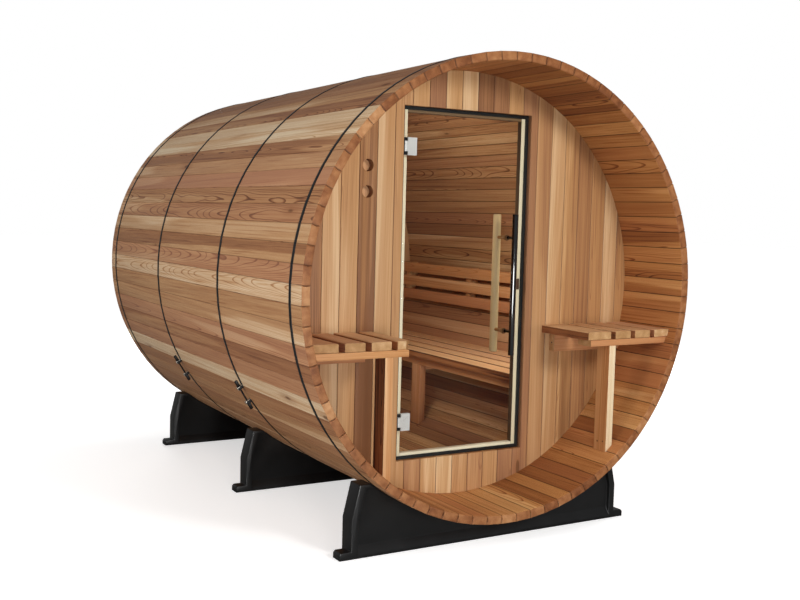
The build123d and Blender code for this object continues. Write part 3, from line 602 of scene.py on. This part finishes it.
# ---- Shapes --------------------------
class Shape:
    """A mesh under way, and the steps that finish it as a piece of the sauna."""

    def __init__(self) -> None:
        """Starts empty."""
        self.bm = bmesh.new()

    @classmethod
    def of_node(cls, node: str) -> "Shape":
        """A merged copy of a CAD node, with whole flat faces instead of triangles.

        Args:
            node: the CAD node's name.

        Returns:
            The copy, ready for further steps.
        """
        shape = cls()
        shape.bm.from_mesh(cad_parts[node].data)
        bmesh.ops.remove_doubles(shape.bm, verts=shape.bm.verts, dist=0.00002)
        bmesh.ops.dissolve_limit(
            shape.bm,
            angle_limit=math.radians(0.5),
            verts=shape.bm.verts,
            edges=shape.bm.edges,
            use_dissolve_boundaries=False,
        )
        return shape

    def islands(self) -> List[List[bmesh.types.BMVert]]:
        """The vertices of each loose part, in a settled order."""
        left = set(self.bm.verts)
        found = []
        for vert in self.bm.verts:
            if vert not in left:
                continue
            part, edge = [], [vert]
            left.discard(vert)
            while edge:
                here = edge.pop()
                part.append(here)
                for link in here.link_edges:
                    other = link.other_vert(here)
                    if other in left:
                        left.discard(other)
                        edge.append(other)
            found.append(part)
        return found

    def _bevel(
        self, edges: List[bmesh.types.BMEdge], width: float, steps: int, clamp: bool = False
    ) -> List[bmesh.types.BMFace]:
        """Bevels edges.

        Args:
            edges: the edges.
            width: how far the bevel reaches from each.
            steps: the flats across it.
            clamp: whether it stops where it meets another.

        Returns:
            The bevel's faces.
        """
        return bmesh.ops.bevel(
            self.bm,
            geom=edges,
            offset=width,
            affect="EDGES",
            segments=steps,
            profile=0.5,
            material=-1,
            clamp_overlap=clamp,
        )["faces"]

    def ease(self, width: float, steps: int = 2, least_angle: float = 30.0) -> "Shape":
        """Rounds every edge that turns by more than an angle and isn't very short.

        Args:
            width: how far the rounding reaches from the edge.
            steps: the flats across the rounding.
            least_angle: the smallest turn, in degrees, that counts as an edge.
        """
        limit = math.radians(least_angle)
        edges = [
            e
            for e in self.bm.edges
            if len(e.link_faces) == 2
            and e.calc_face_angle(0.0) > limit
            and e.calc_length() > SHORTEST_EASED * width
        ]
        self._bevel(edges, width, steps, clamp=True)
        return self

    def round_ends(self, radii: Triple, cuts: Sequence[float]) -> "Shape":
        """Rounds the four edges round both ends of each stave.

        Args:
            radii: the rounding of the sides, of the outer edge and of the inner edge.
            cuts: the turns of the flats that make up each rounding, in degrees from the end.
        """
        side, outer, inner = radii
        for part in self.islands():
            middle = sum((v.co for v in part), Vector()) / len(part)
            out = Vector((middle.x, 0.0, middle.z - AXIS_HEIGHT)).normalized()
            across = Vector((out.z, 0.0, -out.x))
            for facing in (Vector((0.0, -1.0, 0.0)), Vector((0.0, 1.0, 0.0))):
                for way, radius in ((across, side), (-across, side), (out, outer), (-out, inner)):
                    self._round_edge(part, facing, way, radius, cuts)
        bmesh.ops.recalc_face_normals(self.bm, faces=self.bm.faces)
        self.bm.normal_update()
        return self

    def _round_edge(
        self,
        part: List[bmesh.types.BMVert],
        facing: Vector,
        way: Vector,
        radius: float,
        cuts: Sequence[float],
    ) -> None:
        """Rounds one edge of a loose part's end with flats.

        Args:
            part: the loose part's vertices, which are kept up to date.
            facing: the way that the end faces.
            way: the way from the end's middle to the edge.
            radius: the rounding.
            cuts: the turns of its flats, in degrees from the end.
        """
        end = max(v.co.dot(facing) for v in part)
        edge = max(v.co.dot(way) for v in part)
        centre = sum((v.co for v in part), Vector()) / len(part)
        centre += facing * (end - radius - centre.dot(facing))
        centre += way * (edge - radius - centre.dot(way))
        for turn in cuts:
            angle = math.radians(turn)
            normal = facing * math.cos(angle) + way * math.sin(angle)
            edges = {e for v in part for e in v.link_edges}
            faces = {f for v in part for f in v.link_faces}
            cut = bmesh.ops.bisect_plane(
                self.bm,
                geom=[*part, *edges, *faces],
                dist=1e-6,
                plane_co=centre + normal * radius,
                plane_no=normal,
                clear_outer=True,
            )["geom_cut"]
            rim = [item for item in cut if isinstance(item, bmesh.types.BMEdge)]
            bmesh.ops.edgenet_fill(self.bm, edges=rim)
            fresh = {item for item in cut if isinstance(item, bmesh.types.BMVert)}
            part[:] = [v for v in part if v.is_valid and v not in fresh] + sorted(
                fresh, key=lambda v: tuple(v.co)
            )

    def lathe(self, profile: Profile, place: Matrix, steps: int) -> "Shape":
        """Turns a profile round.

        Args:
            profile: its radii and heights.
            place: where the turned shape's base and Z axis go.
            steps: its facets round.
        """
        before = set(self.bm.verts)
        verts = [self.bm.verts.new((radius, 0.0, height)) for radius, height in profile]
        edges = [self.bm.edges.new(pair) for pair in zip(verts, verts[1:])]
        bmesh.ops.spin(
            self.bm,
            geom=verts + edges,
            cent=(0, 0, 0),
            axis=(0, 0, 1),
            angle=math.tau,
            steps=steps,
            use_merge=True,
        )
        made = [v for v in self.bm.verts if v not in before]
        bmesh.ops.remove_doubles(self.bm, verts=made, dist=1e-6)
        made = [v for v in self.bm.verts if v not in before]
        faces = list({f for v in made for f in v.link_faces})
        bmesh.ops.recalc_face_normals(self.bm, faces=faces)
        bmesh.ops.transform(self.bm, matrix=place, verts=made)
        return self

    def hexagon(self, across: float, depth: float, bevel: float, place: Matrix) -> "Shape":
        """A hexagon nut's body with bevelled ends.

        Args:
            across: its width over the flats.
            depth: its length.
            bevel: how far its ends are cut back.
            place: where its middle and Z axis go.
        """
        radius = across / 2 / math.cos(math.pi / 6)
        made = bmesh.ops.create_cone(
            self.bm, cap_ends=True, segments=6, radius1=radius, radius2=radius, depth=depth
        )
        rims = [
            edge
            for edge in {e for v in made["verts"] for e in v.link_edges}
            if abs(edge.verts[0].co.z - edge.verts[1].co.z) < 1e-6
        ]
        verts = {v for f in self._bevel(rims, bevel, 2) for v in f.verts}
        bmesh.ops.transform(self.bm, matrix=place, verts=list(verts))
        return self

    def pare(self, width: float, keep: Callable[[bmesh.types.BMEdge], bool]) -> "Shape":
        """Cuts back flat the edges that are picked, as far as a width."""
        self._bevel([e for e in self.bm.edges if len(e.link_faces) == 2 and keep(e)], width, 1)
        return self

    def mark_grain(
        self,
        seed: int,
        light: Pair = (0.0, 1.0),
        layout: Layout = Layout.LOOSE,
        picked: Optional[Tones] = None,
        upright: Upright = Upright.PLAIN,
    ) -> "Shape":
        """Gives each loose part its own place in a log, tone and hue.

        Args:
            seed: makes this piece's choices, always the same ones.
            light: the darkest and lightest tone.
            layout: how its boards are numbered.
            picked: the tones and blushes of some staves or boards, by number.
            upright: which sides of its upright parts get painted light and painted shade.
        """
        dice = random.Random(seed)
        layers = self.bm.verts.layers
        grain = layers.float_vector.new("grain")
        hue = layers.float.new("hue")
        tone = self.bm.faces.layers.float.new("tone")
        end = self.bm.faces.layers.float.new("end")
        for part in self.islands():
            low = Vector([min(v.co[i] for v in part) for i in range(3)])
            high = Vector([max(v.co[i] for v in part) for i in range(3)])
            size, middle = high - low, (low + high) / 2
            axis = max(range(3), key=lambda i: size[i])
            first, second = [i for i in range(3) if i != axis]
            angle, away = dice.uniform(0, math.tau), dice.uniform(*HEART_AWAY)
            heart = (away * math.cos(angle), away * math.sin(angle))
            tilt = (dice.uniform(-TILT, TILT), dice.uniform(-TILT, TILT))
            start = dice.uniform(0, LOG_LENGTH)
            shade = light[0] + (light[1] - light[0]) * dice.betavariate(2.2, 2.2)
            warmth = dice.random() ** 1.6
            shade, warmth = (picked or {}).get(layout.number(middle), (shade, warmth))
            for vert in part:
                offset = vert.co - middle
                vert[grain] = (
                    offset[first] + heart[0] + tilt[0] * offset[axis],
                    offset[second] + heart[1] + tilt[1] * offset[axis],
                    offset[axis] + start,
                )
                vert[hue] = warmth
            for face in {f for v in part for f in v.link_faces}:
                face[tone] = shade
                face[end] = 1.0 if abs(face.normal[axis]) > FACING else 0.0
                # Painted light makes a lit front pale; painted shade darkens a shaded left side, or
                # turns shaded flanks brown with the end shades.
                if axis == 2 and upright is Upright.PALE_FRONT and face.normal.y < -FACING:
                    face[tone], face[end] = 1.0, 1.0
                if axis == 2 and upright is Upright.DARK_SIDE and face.normal.x < -FACING:
                    face[tone] = SHADED_TONE
                if axis == 2 and upright is Upright.BROWN_SIDES and abs(face.normal.x) > FACING:
                    face[end] = 1.0
        return self

    def paint_light_and_shade(self, tops: float, sides: float) -> "Shape":
        """Paints light on its upper faces, which turn paler, and shade on its sides along the gaps,
        which turn darker.

        Args:
            tops: how much is added to the tone of the upper faces.
            sides: how much is taken from the tone of the faces along the gaps.
        """
        tone = self.bm.faces.layers.float["tone"]
        for face in self.bm.faces:
            if face.normal.z > FACING:
                face[tone] += tops
            elif abs(face.normal.x) > FACING:
                face[tone] -= sides
        return self

    def mesh(self, name: str, smooth: float) -> bpy.types.Mesh:
        """Ends the shape as a mesh.

        Args:
            name: the mesh's name.
            smooth: edges that turn by less than this many degrees are shaded round.

        Returns:
            The mesh.
        """
        self.bm.normal_update()
        limit = math.radians(smooth)
        for face in self.bm.faces:
            face.smooth = True
        for edge in self.bm.edges:
            edge.smooth = len(edge.link_faces) == 2 and edge.calc_face_angle(0.0) < limit
        mesh = bpy.data.meshes.new(name)
        self.bm.to_mesh(mesh)
        self.bm.free()
        return mesh


# ---- Sub-assemblies ------------------
def along(start: Triple, direction: Triple) -> Matrix:
    """The place that starts at a point and whose Z axis points in a direction."""
    turn = Vector(direction).to_track_quat("Z", "Y").to_matrix().to_4x4()
    return Matrix.Translation(start) @ turn


def placed(name: str, data: bpy.types.ID) -> bpy.types.Object:
    """A new object in the scene, at the origin."""
    item = bpy.data.objects.new(name, data)
    bpy.context.scene.collection.objects.link(item)
    return item


@dataclass
class Assembly:
    """Pieces that are made together from the same finishes."""

    paints: Paints

    def dress(
        self,
        shape: Shape,
        name: str,
        slot: str,
        finish: Finish,
        *nodes: str,
        body: str = "building",
        smooth: float = 32.0,
    ) -> bpy.types.Object:
        """Turns a shape into a finished piece that rides on a body.

        Args:
            shape: the mesh under way.
            name: the piece's name.
            slot: the record's material slot, which is not used.
            finish: its material.
            nodes: the CAD nodes that it stands for.
            body: the CAD body that it rides on.
            smooth: edges that turn by less than this many degrees are shaded round.

        Returns:
            The piece.
        """
        mesh = shape.mesh(name, smooth)
        mesh.materials.append(self.paints.get(finish))
        item = placed(name, mesh)
        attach(item, body)
        LOG.info("%s: %d faces", name, len(mesh.polygons))
        if nodes:
            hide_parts(*nodes)
        return item


@dataclass
class Shell(Assembly):
    """The ring of staves. Some, counted from the top to the right, have tones of their own."""

    end_radii: Triple = (0.009, 0.004, 0.008)
    end_cuts: Triple = (22.0, 45.0, 68.0)
    tones: Pair = (0.22, 0.78)
    picked: Tuple[Picks, ...] = (
        Picks(
            -4,
            (0.36, 0.40, 0.34, 0.44, 0.56, 0.34, 0.86, 0.82, 0.38, 0.60, 0.50, 0.46, 0.48),
            (0.3, 0.2, 0.1, 0.2, 0.1, 0.2, 0.0, 0.0, 0.2, 0.4, 1.0, 0.1, 0.4),
            -1,
        ),
        Picks(
            -17,
            (0.68, 0.40, 0.52, 0.84, 0.56, 0.60, 0.52, 0.32, 0.50, 0.88, 0.44, 0.54, 0.46),
            (0.1, 0.1, 0.7, 0.2, 0.1, 0.2, 0.8, 0.3, 0.7, 0.1, 0.2, 0.2, 0.3),
            -1,
        ),
        Picks(
            1,
            (0.40, 0.36, 0.44, 0.38, 0.34, 0.22, 0.26, 0.50, 0.68, 0.38, 0.50),
            (0.1, 0.1, 0.0, 0.1, 0.1, 0.2, 0.1, 0.0, 0.0, 0.1, 0.4),
        ),
        Picks(
            12,
            (0.52, 0.48, 0.54, 0.48, 0.38, 0.34, 0.60, 0.40, 0.46, 0.50, 0.52),
            (0.1, 0.1, 0.1, 0.1, 0.5, 0.1, 0.3, 0.1, 0.2, 0.3, 0.3),
        ),
        # Stave 24 is picked dark as painted shade.
        Picks(24, (0.32, 0.44), (0.6, 0.9), 2),
        Picks(29, (0.76, 0.34), (0.1, 0.4)),
        Picks(32, (0.62, 0.26), (0.5, 0.5), 2),
        Picks(35, (0.32, 0.60, 0.36, 0.62, 0.52), (0.2, 0.1, 0.1, 0.1, 0.1)),
    )

    def build(self) -> None:
        """Makes the staves in runs of five, as they are packed."""
        picked = Picks.gather(self.picked)
        for run in range(1, STAVE_RUNS + 1):
            node = f"staves_{run:02d}"
            shape = Shape.of_node(node)
            shape.round_ends(self.end_radii, self.end_cuts)
            shape.mark_grain(100 + run, self.tones, Layout.STAVES, picked)
            self.dress(shape, f"stave_run_{run:02d}", "stave_cedar", Finish.STAVE, node)


@dataclass
class Walls(Assembly):
    """The boards of both end walls, the frame of the doorway and the cover of the vents."""

    easing: float = 0.0008
    frame_easing: float = 0.001
    cover_easing: float = 0.0015
    tones: Pair = (0.1, 0.95)
    cover_tones: Pair = (0.9, 1.0)
    head_depth: float = 0.06
    head_half: float = 0.05
    # Boards of the front wall, counted from the middle to the right.
    picked: Tuple[Picks, ...] = (
        Picks(-10, (0.15, 0.25, 0.7, 0.52, 0.14, 0.64, 0.58), (0.1, 0.1, 0.2, 0.2, 0.0, 0.3, 0.4)),
        Picks(
            4,
            (0.3, 0.42, 0.6, 0.44, 0.34, 0.46, 0.76, 0.36),
            (0.8, 0.5, 0.3, 0.1, 0.2, 0.1, 0.3, 0.2),
        ),
    )

    def build(self) -> None:
        """Makes the boards, frame and cover."""
        front = Picks.gather(self.picked)
        parts = ("left", "right", "over_door", "under_door")
        walls = [(f"front_wall_{part}", f"porch_boards_{part}", front) for part in parts]
        walls.append(("rear_wall", "rear_boards", None))
        for seed, (node, name, picked) in enumerate(walls, 300):
            shape = Shape.of_node(node).mark_grain(seed, self.tones, Layout.BOARDS, picked)
            shape.ease(self.easing)
            self.dress(shape, name, "board_cedar", Finish.BOARD, node)
        # The frame's flanks and the front of its head are painted brown as shade.
        shape = Shape.of_node("door_stop").mark_grain(500, upright=Upright.BROWN_SIDES)
        self._shade_head(shape)
        shape.ease(self.frame_easing)
        self.dress(shape, "door_frame", "frame_wood", Finish.FRAME, "door_stop")
        shape = Shape.of_node("vent_slide").mark_grain(510, self.cover_tones)
        shape.ease(self.cover_easing)
        self.dress(shape, "vent_cover", "pale_wood", Finish.BENCH, "vent_slide")

    def _shade_head(self, shape: Shape) -> None:
        """Paints shade on the front of the frame's head, as brown as its ends."""
        end = shape.bm.faces.layers.float["end"]
        top = max(v.co.z for v in shape.bm.verts)
        for face in shape.bm.faces:
            middle = face.calc_center_median()
            if middle.z > top - self.head_depth and abs(middle.x) < self.head_half:
                face[end] = 1.0


@dataclass
class Benches(Assembly):
    """The slatted seats on the porch and inside, with what carries them."""

    easing: float = 0.0015
    undercut: float = 0.006
    # How much painted light pales the seats' upper faces, and how much painted shade darkens their
    # sides.
    top_light: float = 0.5
    shaded: float = 0.45
    seat_tones: Pair = (0.35, 0.8)
    support_tones: Pair = (0.3, 0.8)
    screw_head: Profile = (
        *((0.0, 0.0001), (0.0012, 0.0001), (0.0016, 0.0006)),
        *((0.0036, 0.0006), (0.0036, -0.002)),
    )
    # The middle of each screw, and 1 or -1 for the way along X that it faces.
    screws: Tuple[Tuple[float, float, float, int], ...] = (
        (0.5302, -1.106, 0.340, -1),
        (0.5302, -1.139, 0.344, -1),
        (0.4492, -0.880, 0.733, -1),
        (-0.5012, -1.106, 0.330, 1),
        (-0.5012, -1.139, 0.330, 1),
    )

    def build(self) -> None:
        """Makes the seats, their supports, the backrest and the screws that show."""
        seats = {
            "porch_slats_left": "porch_seat_left",
            "porch_slats_right": "porch_seat_right",
            "bench_slats": "inside_seat",
        }
        for seed, (node, name) in enumerate(seats.items(), 400):
            shape = Shape.of_node(node).mark_grain(seed, self.seat_tones)
            shape.paint_light_and_shade(self.top_light, self.shaded)
            self._undercut(shape)
            shape.ease(self.easing, 3)
            self.dress(shape, name, "bench_cedar", Finish.BENCH, node)
        # The left post's left side gets painted shade and the right post's front gets painted
        # light.
        supports = {
            "porch_frame_left": ("porch_support_left", Upright.DARK_SIDE),
            "porch_frame_right": ("porch_support_right", Upright.PALE_FRONT),
            "bench_frame": ("inside_support", Upright.PLAIN),
            "backrest": ("inside_backrest", Upright.PLAIN),
        }
        for seed, (node, (name, upright)) in enumerate(supports.items(), 410):
            shape = Shape.of_node(node).mark_grain(seed, self.support_tones, upright=upright)
            shape.ease(self.easing)
            self.dress(shape, name, "bench_cedar", Finish.BENCH, node)
        shape = Shape()
        for x, y, z, way in self.screws:
            shape.lathe(self.screw_head, along((x, y, z), (way, 0, 0)), 12)
        self.dress(shape, "bench_screws", "catch_metal", Finish.BOLT)

    def _undercut(self, shape: Shape) -> None:
        """Cuts back the lower edge of each slat's front end."""
        low = min(v.co.z for v in shape.bm.verts)
        front = min(v.co.y for v in shape.bm.verts)
        shape.pare(
            self.undercut,
            lambda e: all(v.co.z < low + 0.001 and v.co.y < front + 0.001 for v in e.verts),
        )


@dataclass
class Door(Assembly):
    """The glass door, its seal, catch and hinges, and the pull on each side."""

    easing: float = 0.0006
    seal_easing: float = 0.001
    catch_easing: float = 0.0008
    plate_easing: float = 0.0012
    plate_edge: float = 60.0
    glass_front: float = FRONT_RIM + 0.360
    glass_back: float = FRONT_RIM + 0.368
    pull_x: float = 0.213
    pull_length: float = 0.590
    post_spacing: float = 0.394
    outer_radius: float = 0.0125
    outer_standoff: float = 0.047
    outer_rounding: float = 0.002
    inner_radius: float = 0.017
    inner_standoff: float = 0.075
    inner_rounding: float = 0.006
    hinge_x: float = -0.2675
    hinge_heights: Pair = (0.551, -0.549)
    plate_depth: float = 0.003
    cap_offset: float = 0.022
    cap: Profile = (
        *((0.0, 0.0006), (0.0018, 0.0006), (0.002, 0.0022)),
        *((0.0036, 0.0021), (0.0048, 0.0)),
    )
    mirror_smooth: float = 15.0  # keeps the faces that mirror the room flat to their edges

    def build(self) -> None:
        """Makes every piece of the door."""
        shape = Shape.of_node("door_seal").ease(self.seal_easing)
        self.dress(shape, "door_gasket", "seal_rubber", Finish.SEAL, "door_seal")
        shape = Shape.of_node("door_catch").ease(self.catch_easing)
        self.dress(shape, "door_keeper", "catch_metal", Finish.CATCH, "door_catch")
        shape = Shape.of_node("door_glass").ease(self.easing)
        moving = {"body": "door", "smooth": self.mirror_smooth}
        self.dress(shape, "door_pane", "door_glass", Finish.GLASS, "door_glass", **moving)
        shape = Shape.of_node("hinge_brackets").ease(self.easing)
        self.dress(shape, "hinge_knuckles", "bracket_steel", Finish.BRACKET, "hinge_brackets")
        shape = self._clamps()
        self.dress(shape, "hinge_clamps", "hinge_metal", Finish.PLATE, "hinge_plates", **moving)
        moving = {"body": "door"}
        shape = self._outer_pull()
        self.dress(shape, "pull_outer", "black_gloss", Finish.GLOSS, "pull_handle_outer", **moving)
        y = self.glass_back + self.inner_standoff
        shape = self._rounded_bar(self.inner_radius, y, self.inner_rounding).mark_grain(600)
        self.dress(shape, "pull_inner", "pale_wood", Finish.PULL, "pull_handle_inner", **moving)
        shape = self._inner_posts().mark_grain(610)
        self.dress(shape, "pull_inner_posts", "pale_wood", Finish.SPINDLE, **moving)

    def _clamps(self) -> Shape:
        """Hinge plates with bevelled rims, and cap screws on their inner side."""
        shape = Shape.of_node("hinge_plates").ease(self.plate_easing, 2, self.plate_edge)
        for height in self.hinge_heights:
            for offset in (-self.cap_offset, self.cap_offset):
                z = AXIS_HEIGHT + height + offset
                at = (self.hinge_x, self.glass_back + self.plate_depth, z)
                shape.lathe(self.cap, along(at, (0, 1, 0)), 28)
        return shape

    def _rounded_bar(self, radius: float, y: float, rounding: float) -> Shape:
        """Turns an upright bar with rounded ends.

        Args:
            radius: the bar's radius.
            y: where its axis stands.
            rounding: the radius of its ends' rounding.

        Returns:
            The bar.
        """
        half = self.pull_length / 2
        ends = [
            (
                radius - rounding * (1 - math.sin(math.radians(turn))),
                half - rounding * (1 - math.cos(math.radians(turn))),
            )
            for turn in (0, 22, 45, 67, 90)
        ]
        top = [(0.0, half), *ends]
        profile = top + [(r, -z) for r, z in reversed(top)]
        return Shape().lathe(profile, Matrix.Translation((self.pull_x, y, AXIS_HEIGHT)), 40)

    def _posts(self, shape: Shape, profile: Profile, y: float, steps: int) -> Shape:
        """Turns both posts of a pull.

        Args:
            shape: the mesh that they are added to.
            profile: a post's radii and heights.
            y: where they start.
            steps: their facets round.

        Returns:
            The same mesh.
        """
        for side in (-1, 1):
            at = (self.pull_x, y, AXIS_HEIGHT + side * self.post_spacing / 2)
            shape.lathe(profile, along(at, (0, 1, 0)), steps)
        return shape

    def _outer_pull(self) -> Shape:
        """A glossy bar on straight posts with a rosette on the glass."""
        y = self.glass_front - self.outer_standoff
        foot = self.outer_standoff
        post = ((0.006, 0.004), (0.006, foot - 0.004), (0.0076, foot - 0.0035))
        rosette = ((0.0082, foot - 0.0025), (0.0082, foot), (0.0, foot))
        bar = self._rounded_bar(self.outer_radius, y, self.outer_rounding)
        return self._posts(bar, (*post, *rosette), y, 28)

    def _inner_posts(self) -> Shape:
        """Turned posts that narrow from the glass to the inner bar."""
        reach = self.inner_standoff - 0.006
        turned = (
            *((0.0, 0.0), (0.0125, 0.0), (0.0130, 0.0010), (0.0130, 0.0050)),
            *((0.0120, 0.0065), (0.0105, 0.0080), (0.0112, 0.0100), (0.0112, 0.0130)),
            *((0.0095, 0.0170), (0.0078, 0.0280), (0.0068, 0.0420)),
            *((0.0064, reach - 0.014), (0.0075, reach - 0.0105), (0.0085, reach)),
        )
        return self._posts(Shape(), turned, self.glass_back, 32)


@dataclass
class Hoops(Assembly):
    """The steel bands, with the threaded rod and nuts that tighten each."""

    depths: Quad = (0.095, 0.809, 1.604, 2.350)
    sides: Tuple[int, int, int, int] = (1, -1, -1, 1)
    easing: float = 0.0004
    lug_start: float = 0.9032
    lug_face: float = 0.043
    turn: float = math.radians(121.5)
    rod_path: float = 0.9153
    rod_half: float = 0.066
    pitch: float = 0.0025
    root: float = 0.0034
    crest: float = 0.0040
    washer: Profile = (
        *((0.0042, 0.0), (0.0088, 0.0), (0.0088, 0.0015)),
        *((0.0042, 0.0015), (0.0042, 0.0)),
    )
    nut_middle: float = 0.0145
    nut: Triple = (0.013, 0.026, 0.0012)

    def build(self) -> None:
        """Makes the bands, whose lugs are brighter, and what tightens them."""
        for name in ("front", "second", "third", "rear"):
            shape = Shape.of_node(f"hoop_{name}").ease(self.easing)
            band = self.dress(shape, f"band_{name}", "hoop_steel", Finish.HOOP, f"hoop_{name}")
            band.data.materials.append(self.paints.get(Finish.LUG))
            for face in band.data.polygons:
                middle = face.center
                if math.hypot(middle.x, middle.z - AXIS_HEIGHT) > self.lug_start:
                    face.material_index = 1
        rods, sleeves = Shape(), Shape()
        for depth, side in zip(self.depths, self.sides):
            self._tightener(rods, sleeves, depth, side)
        self.dress(rods, "band_rods", "hoop_steel", Finish.BOLT, "tension_bolts")
        self.dress(sleeves, "band_sleeves", "hoop_steel", Finish.HOOP)

    def _tightener(self, rods: Shape, sleeves: Shape, depth: float, side: int) -> None:
        """Adds one band's rod and nuts.

        Args:
            rods: the mesh of the threaded rods and washers.
            sleeves: the mesh of the long black nuts.
            depth: how far the band is from the front rim.
            side: 1 to the right, -1 to the left.
        """
        turn = side * self.turn
        middle = Vector((math.sin(turn), 0.0, math.cos(turn))) * self.rod_path
        middle += Vector((0.0, FRONT_RIM + depth, AXIS_HEIGHT))
        ahead = Vector((math.cos(turn), 0.0, -math.sin(turn)))
        thread = [(0.0, -self.rod_half)]
        for step in range(round(2 * self.rod_half / self.pitch)):
            at = -self.rod_half + step * self.pitch
            thread += [(self.root, at), (self.crest, at + self.pitch / 2)]
        thread += [(self.root, self.rod_half), (0.0, self.rod_half)]
        rods.lathe(thread, along(middle, ahead), 12)
        for out in (-ahead, ahead):
            rods.lathe(self.washer, along(middle + out * self.lug_face, out), 20)
            nut = along(middle + out * (self.lug_face + self.nut_middle), out)
            sleeves.hexagon(*self.nut, nut)


@dataclass
class Cradles(Assembly):
    """The moulded cradles."""

    easing: float = 0.003

    def build(self) -> None:
        """Makes the three cradles."""
        for name in ("front", "middle", "rear"):
            node = f"cradle_{name}"
            shape = Shape.of_node(node).ease(self.easing, 3)
            self.dress(shape, f"saddle_{name}", "cradle_plastic", Finish.CRADLE, node)


# ---- Studio --------------------------
@dataclass
class Studio:
    """The floor, the lights and the camera."""

    paints: Paints
    eye: Triple = (-2.3672, -4.3899, 1.2696)
    yaw: float = 0.5286
    pitch: float = -0.0827
    roll: float = 0.0257
    lens: float = 46.55
    sensor: float = 36.0
    reach: float = 200.0
    floor_half: float = 40.0
    ambient: float = 0.3
    white: float = 1.0

    def camera(self) -> None:
        """Places the camera where the object is seen from."""
        flat = Vector((math.sin(self.yaw), math.cos(self.yaw), 0.0))
        ahead = flat * math.cos(self.pitch) + Vector((0.0, 0.0, math.sin(self.pitch)))
        level = Vector((flat.y, -flat.x, 0.0))
        upright = level.cross(ahead)
        right = math.cos(self.roll) * level + math.sin(self.roll) * upright
        up = -math.sin(self.roll) * level + math.cos(self.roll) * upright
        turn = Matrix((right, up, -ahead)).transposed().to_4x4()
        data = bpy.data.cameras.new("studio_camera")
        data.lens = self.lens
        data.sensor_width = self.sensor
        data.clip_end = self.reach
        camera = placed("studio_camera", data)
        camera.matrix_world = Matrix.Translation(self.eye) @ turn
        bpy.context.scene.camera = camera

    def floor(self) -> None:
        """A plain pale floor."""
        shape = Shape()
        bmesh.ops.create_grid(shape.bm, x_segments=1, y_segments=1, size=self.floor_half)
        mesh = shape.mesh("studio_floor", 0.0)
        mesh.materials.append(self.paints.get(Finish.FLOOR))
        item = placed("studio_floor", mesh)

    def lamp(
        self,
        name: str,
        at: Triple,
        towards: Triple,
        size: float,
        power: float,
        mirrored: bool = False,
        lights: bool = True,
    ) -> None:
        """Adds a soft square lamp.

        Args:
            name: the lamp's name.
            at: where it hangs.
            towards: the point that it faces.
            size: the length of its side.
            power: its strength in watts.
            mirrored: whether glass and metal show its reflection.
            lights: whether it lights surfaces as well.
        """
        data = bpy.data.lights.new(name, "AREA")
        data.shape = "SQUARE"
        data.size = size
        data.energy = power
        lamp = placed(name, data)
        lamp.location = at
        facing = Vector(towards) - Vector(at)
        lamp.rotation_euler = facing.to_track_quat("-Z", "Y").to_euler()
        lamp.visible_camera = False
        lamp.visible_glossy = mirrored
        lamp.visible_diffuse = lights

    def backdrop(self) -> None:
        """White surroundings, which light the object less than they are seen."""
        world = bpy.data.worlds.new("studio_white")
        bpy.context.scene.world = world
        net = Net(world)
        ambient, behind = (
            net.add("ShaderNodeBackground", values={"Color": WHITE, "Strength": strength})
            for strength in (self.ambient, self.white)
        )
        straight = net.add("ShaderNodeLightPath", output="Is Camera Ray")
        both = net.add("ShaderNodeMixShader", values={0: straight, 1: ambient, 2: behind})
        net.finish(both, "ShaderNodeOutputWorld")

    def build(self) -> None:
        """Sets up the whole studio."""
        self.camera()
        self.floor()
        self.backdrop()
        self.lamp("key", (2.4, -6.0, 1.1), (0.0, -1.0, 1.0), 1.6, 38.0)
        self.lamp("overhead", (0.6, -5.0, 2.5), (0.0, -1.0, 0.8), 0.8, 80.0)
        self.lamp("flash", (-1.9, -5.8, 0.65), (0.0, -0.9, 1.0), 0.9, 75.0, mirrored=True)
        self.lamp("left", (-6.0, -1.5, 1.8), (0.0, 0.0, 1.1), 2.6, 150.0)
        self.lamp("right", (6.0, 1.0, 2.4), (0.0, 0.0, 1.1), 2.6, 120.0)
        self.lamp("back", (0.8, 6.4, 2.2), (0.0, 0.9, 1.0), 2.0, 110.0)
        self.lamp("inside", (-0.3, -0.5, 1.35), (0.6, 0.5, 1.05), 0.3, 7.2)
        self.lamp("seat", (0.45, -0.74, 1.25), (0.55, -0.55, 0.55), 0.12, 3.0)
        self.lamp("glint", (-1.2, -2.6, 0.78), (0.213, -0.91, 0.95), 0.6, 34.0, True, False)
        bpy.context.scene.view_settings.view_transform = "Standard"


def main() -> None:
    """Builds the studio and then the sauna's pieces in order."""
    logging.basicConfig(level=logging.INFO, format="%(message)s")
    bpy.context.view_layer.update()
    paints = Paints()
    Studio(paints).build()
    for assembly in (Shell, Walls, Benches, Door, Hoops, Cradles):
        assembly(paints).build()


if __name__ == "__main__":
    main()
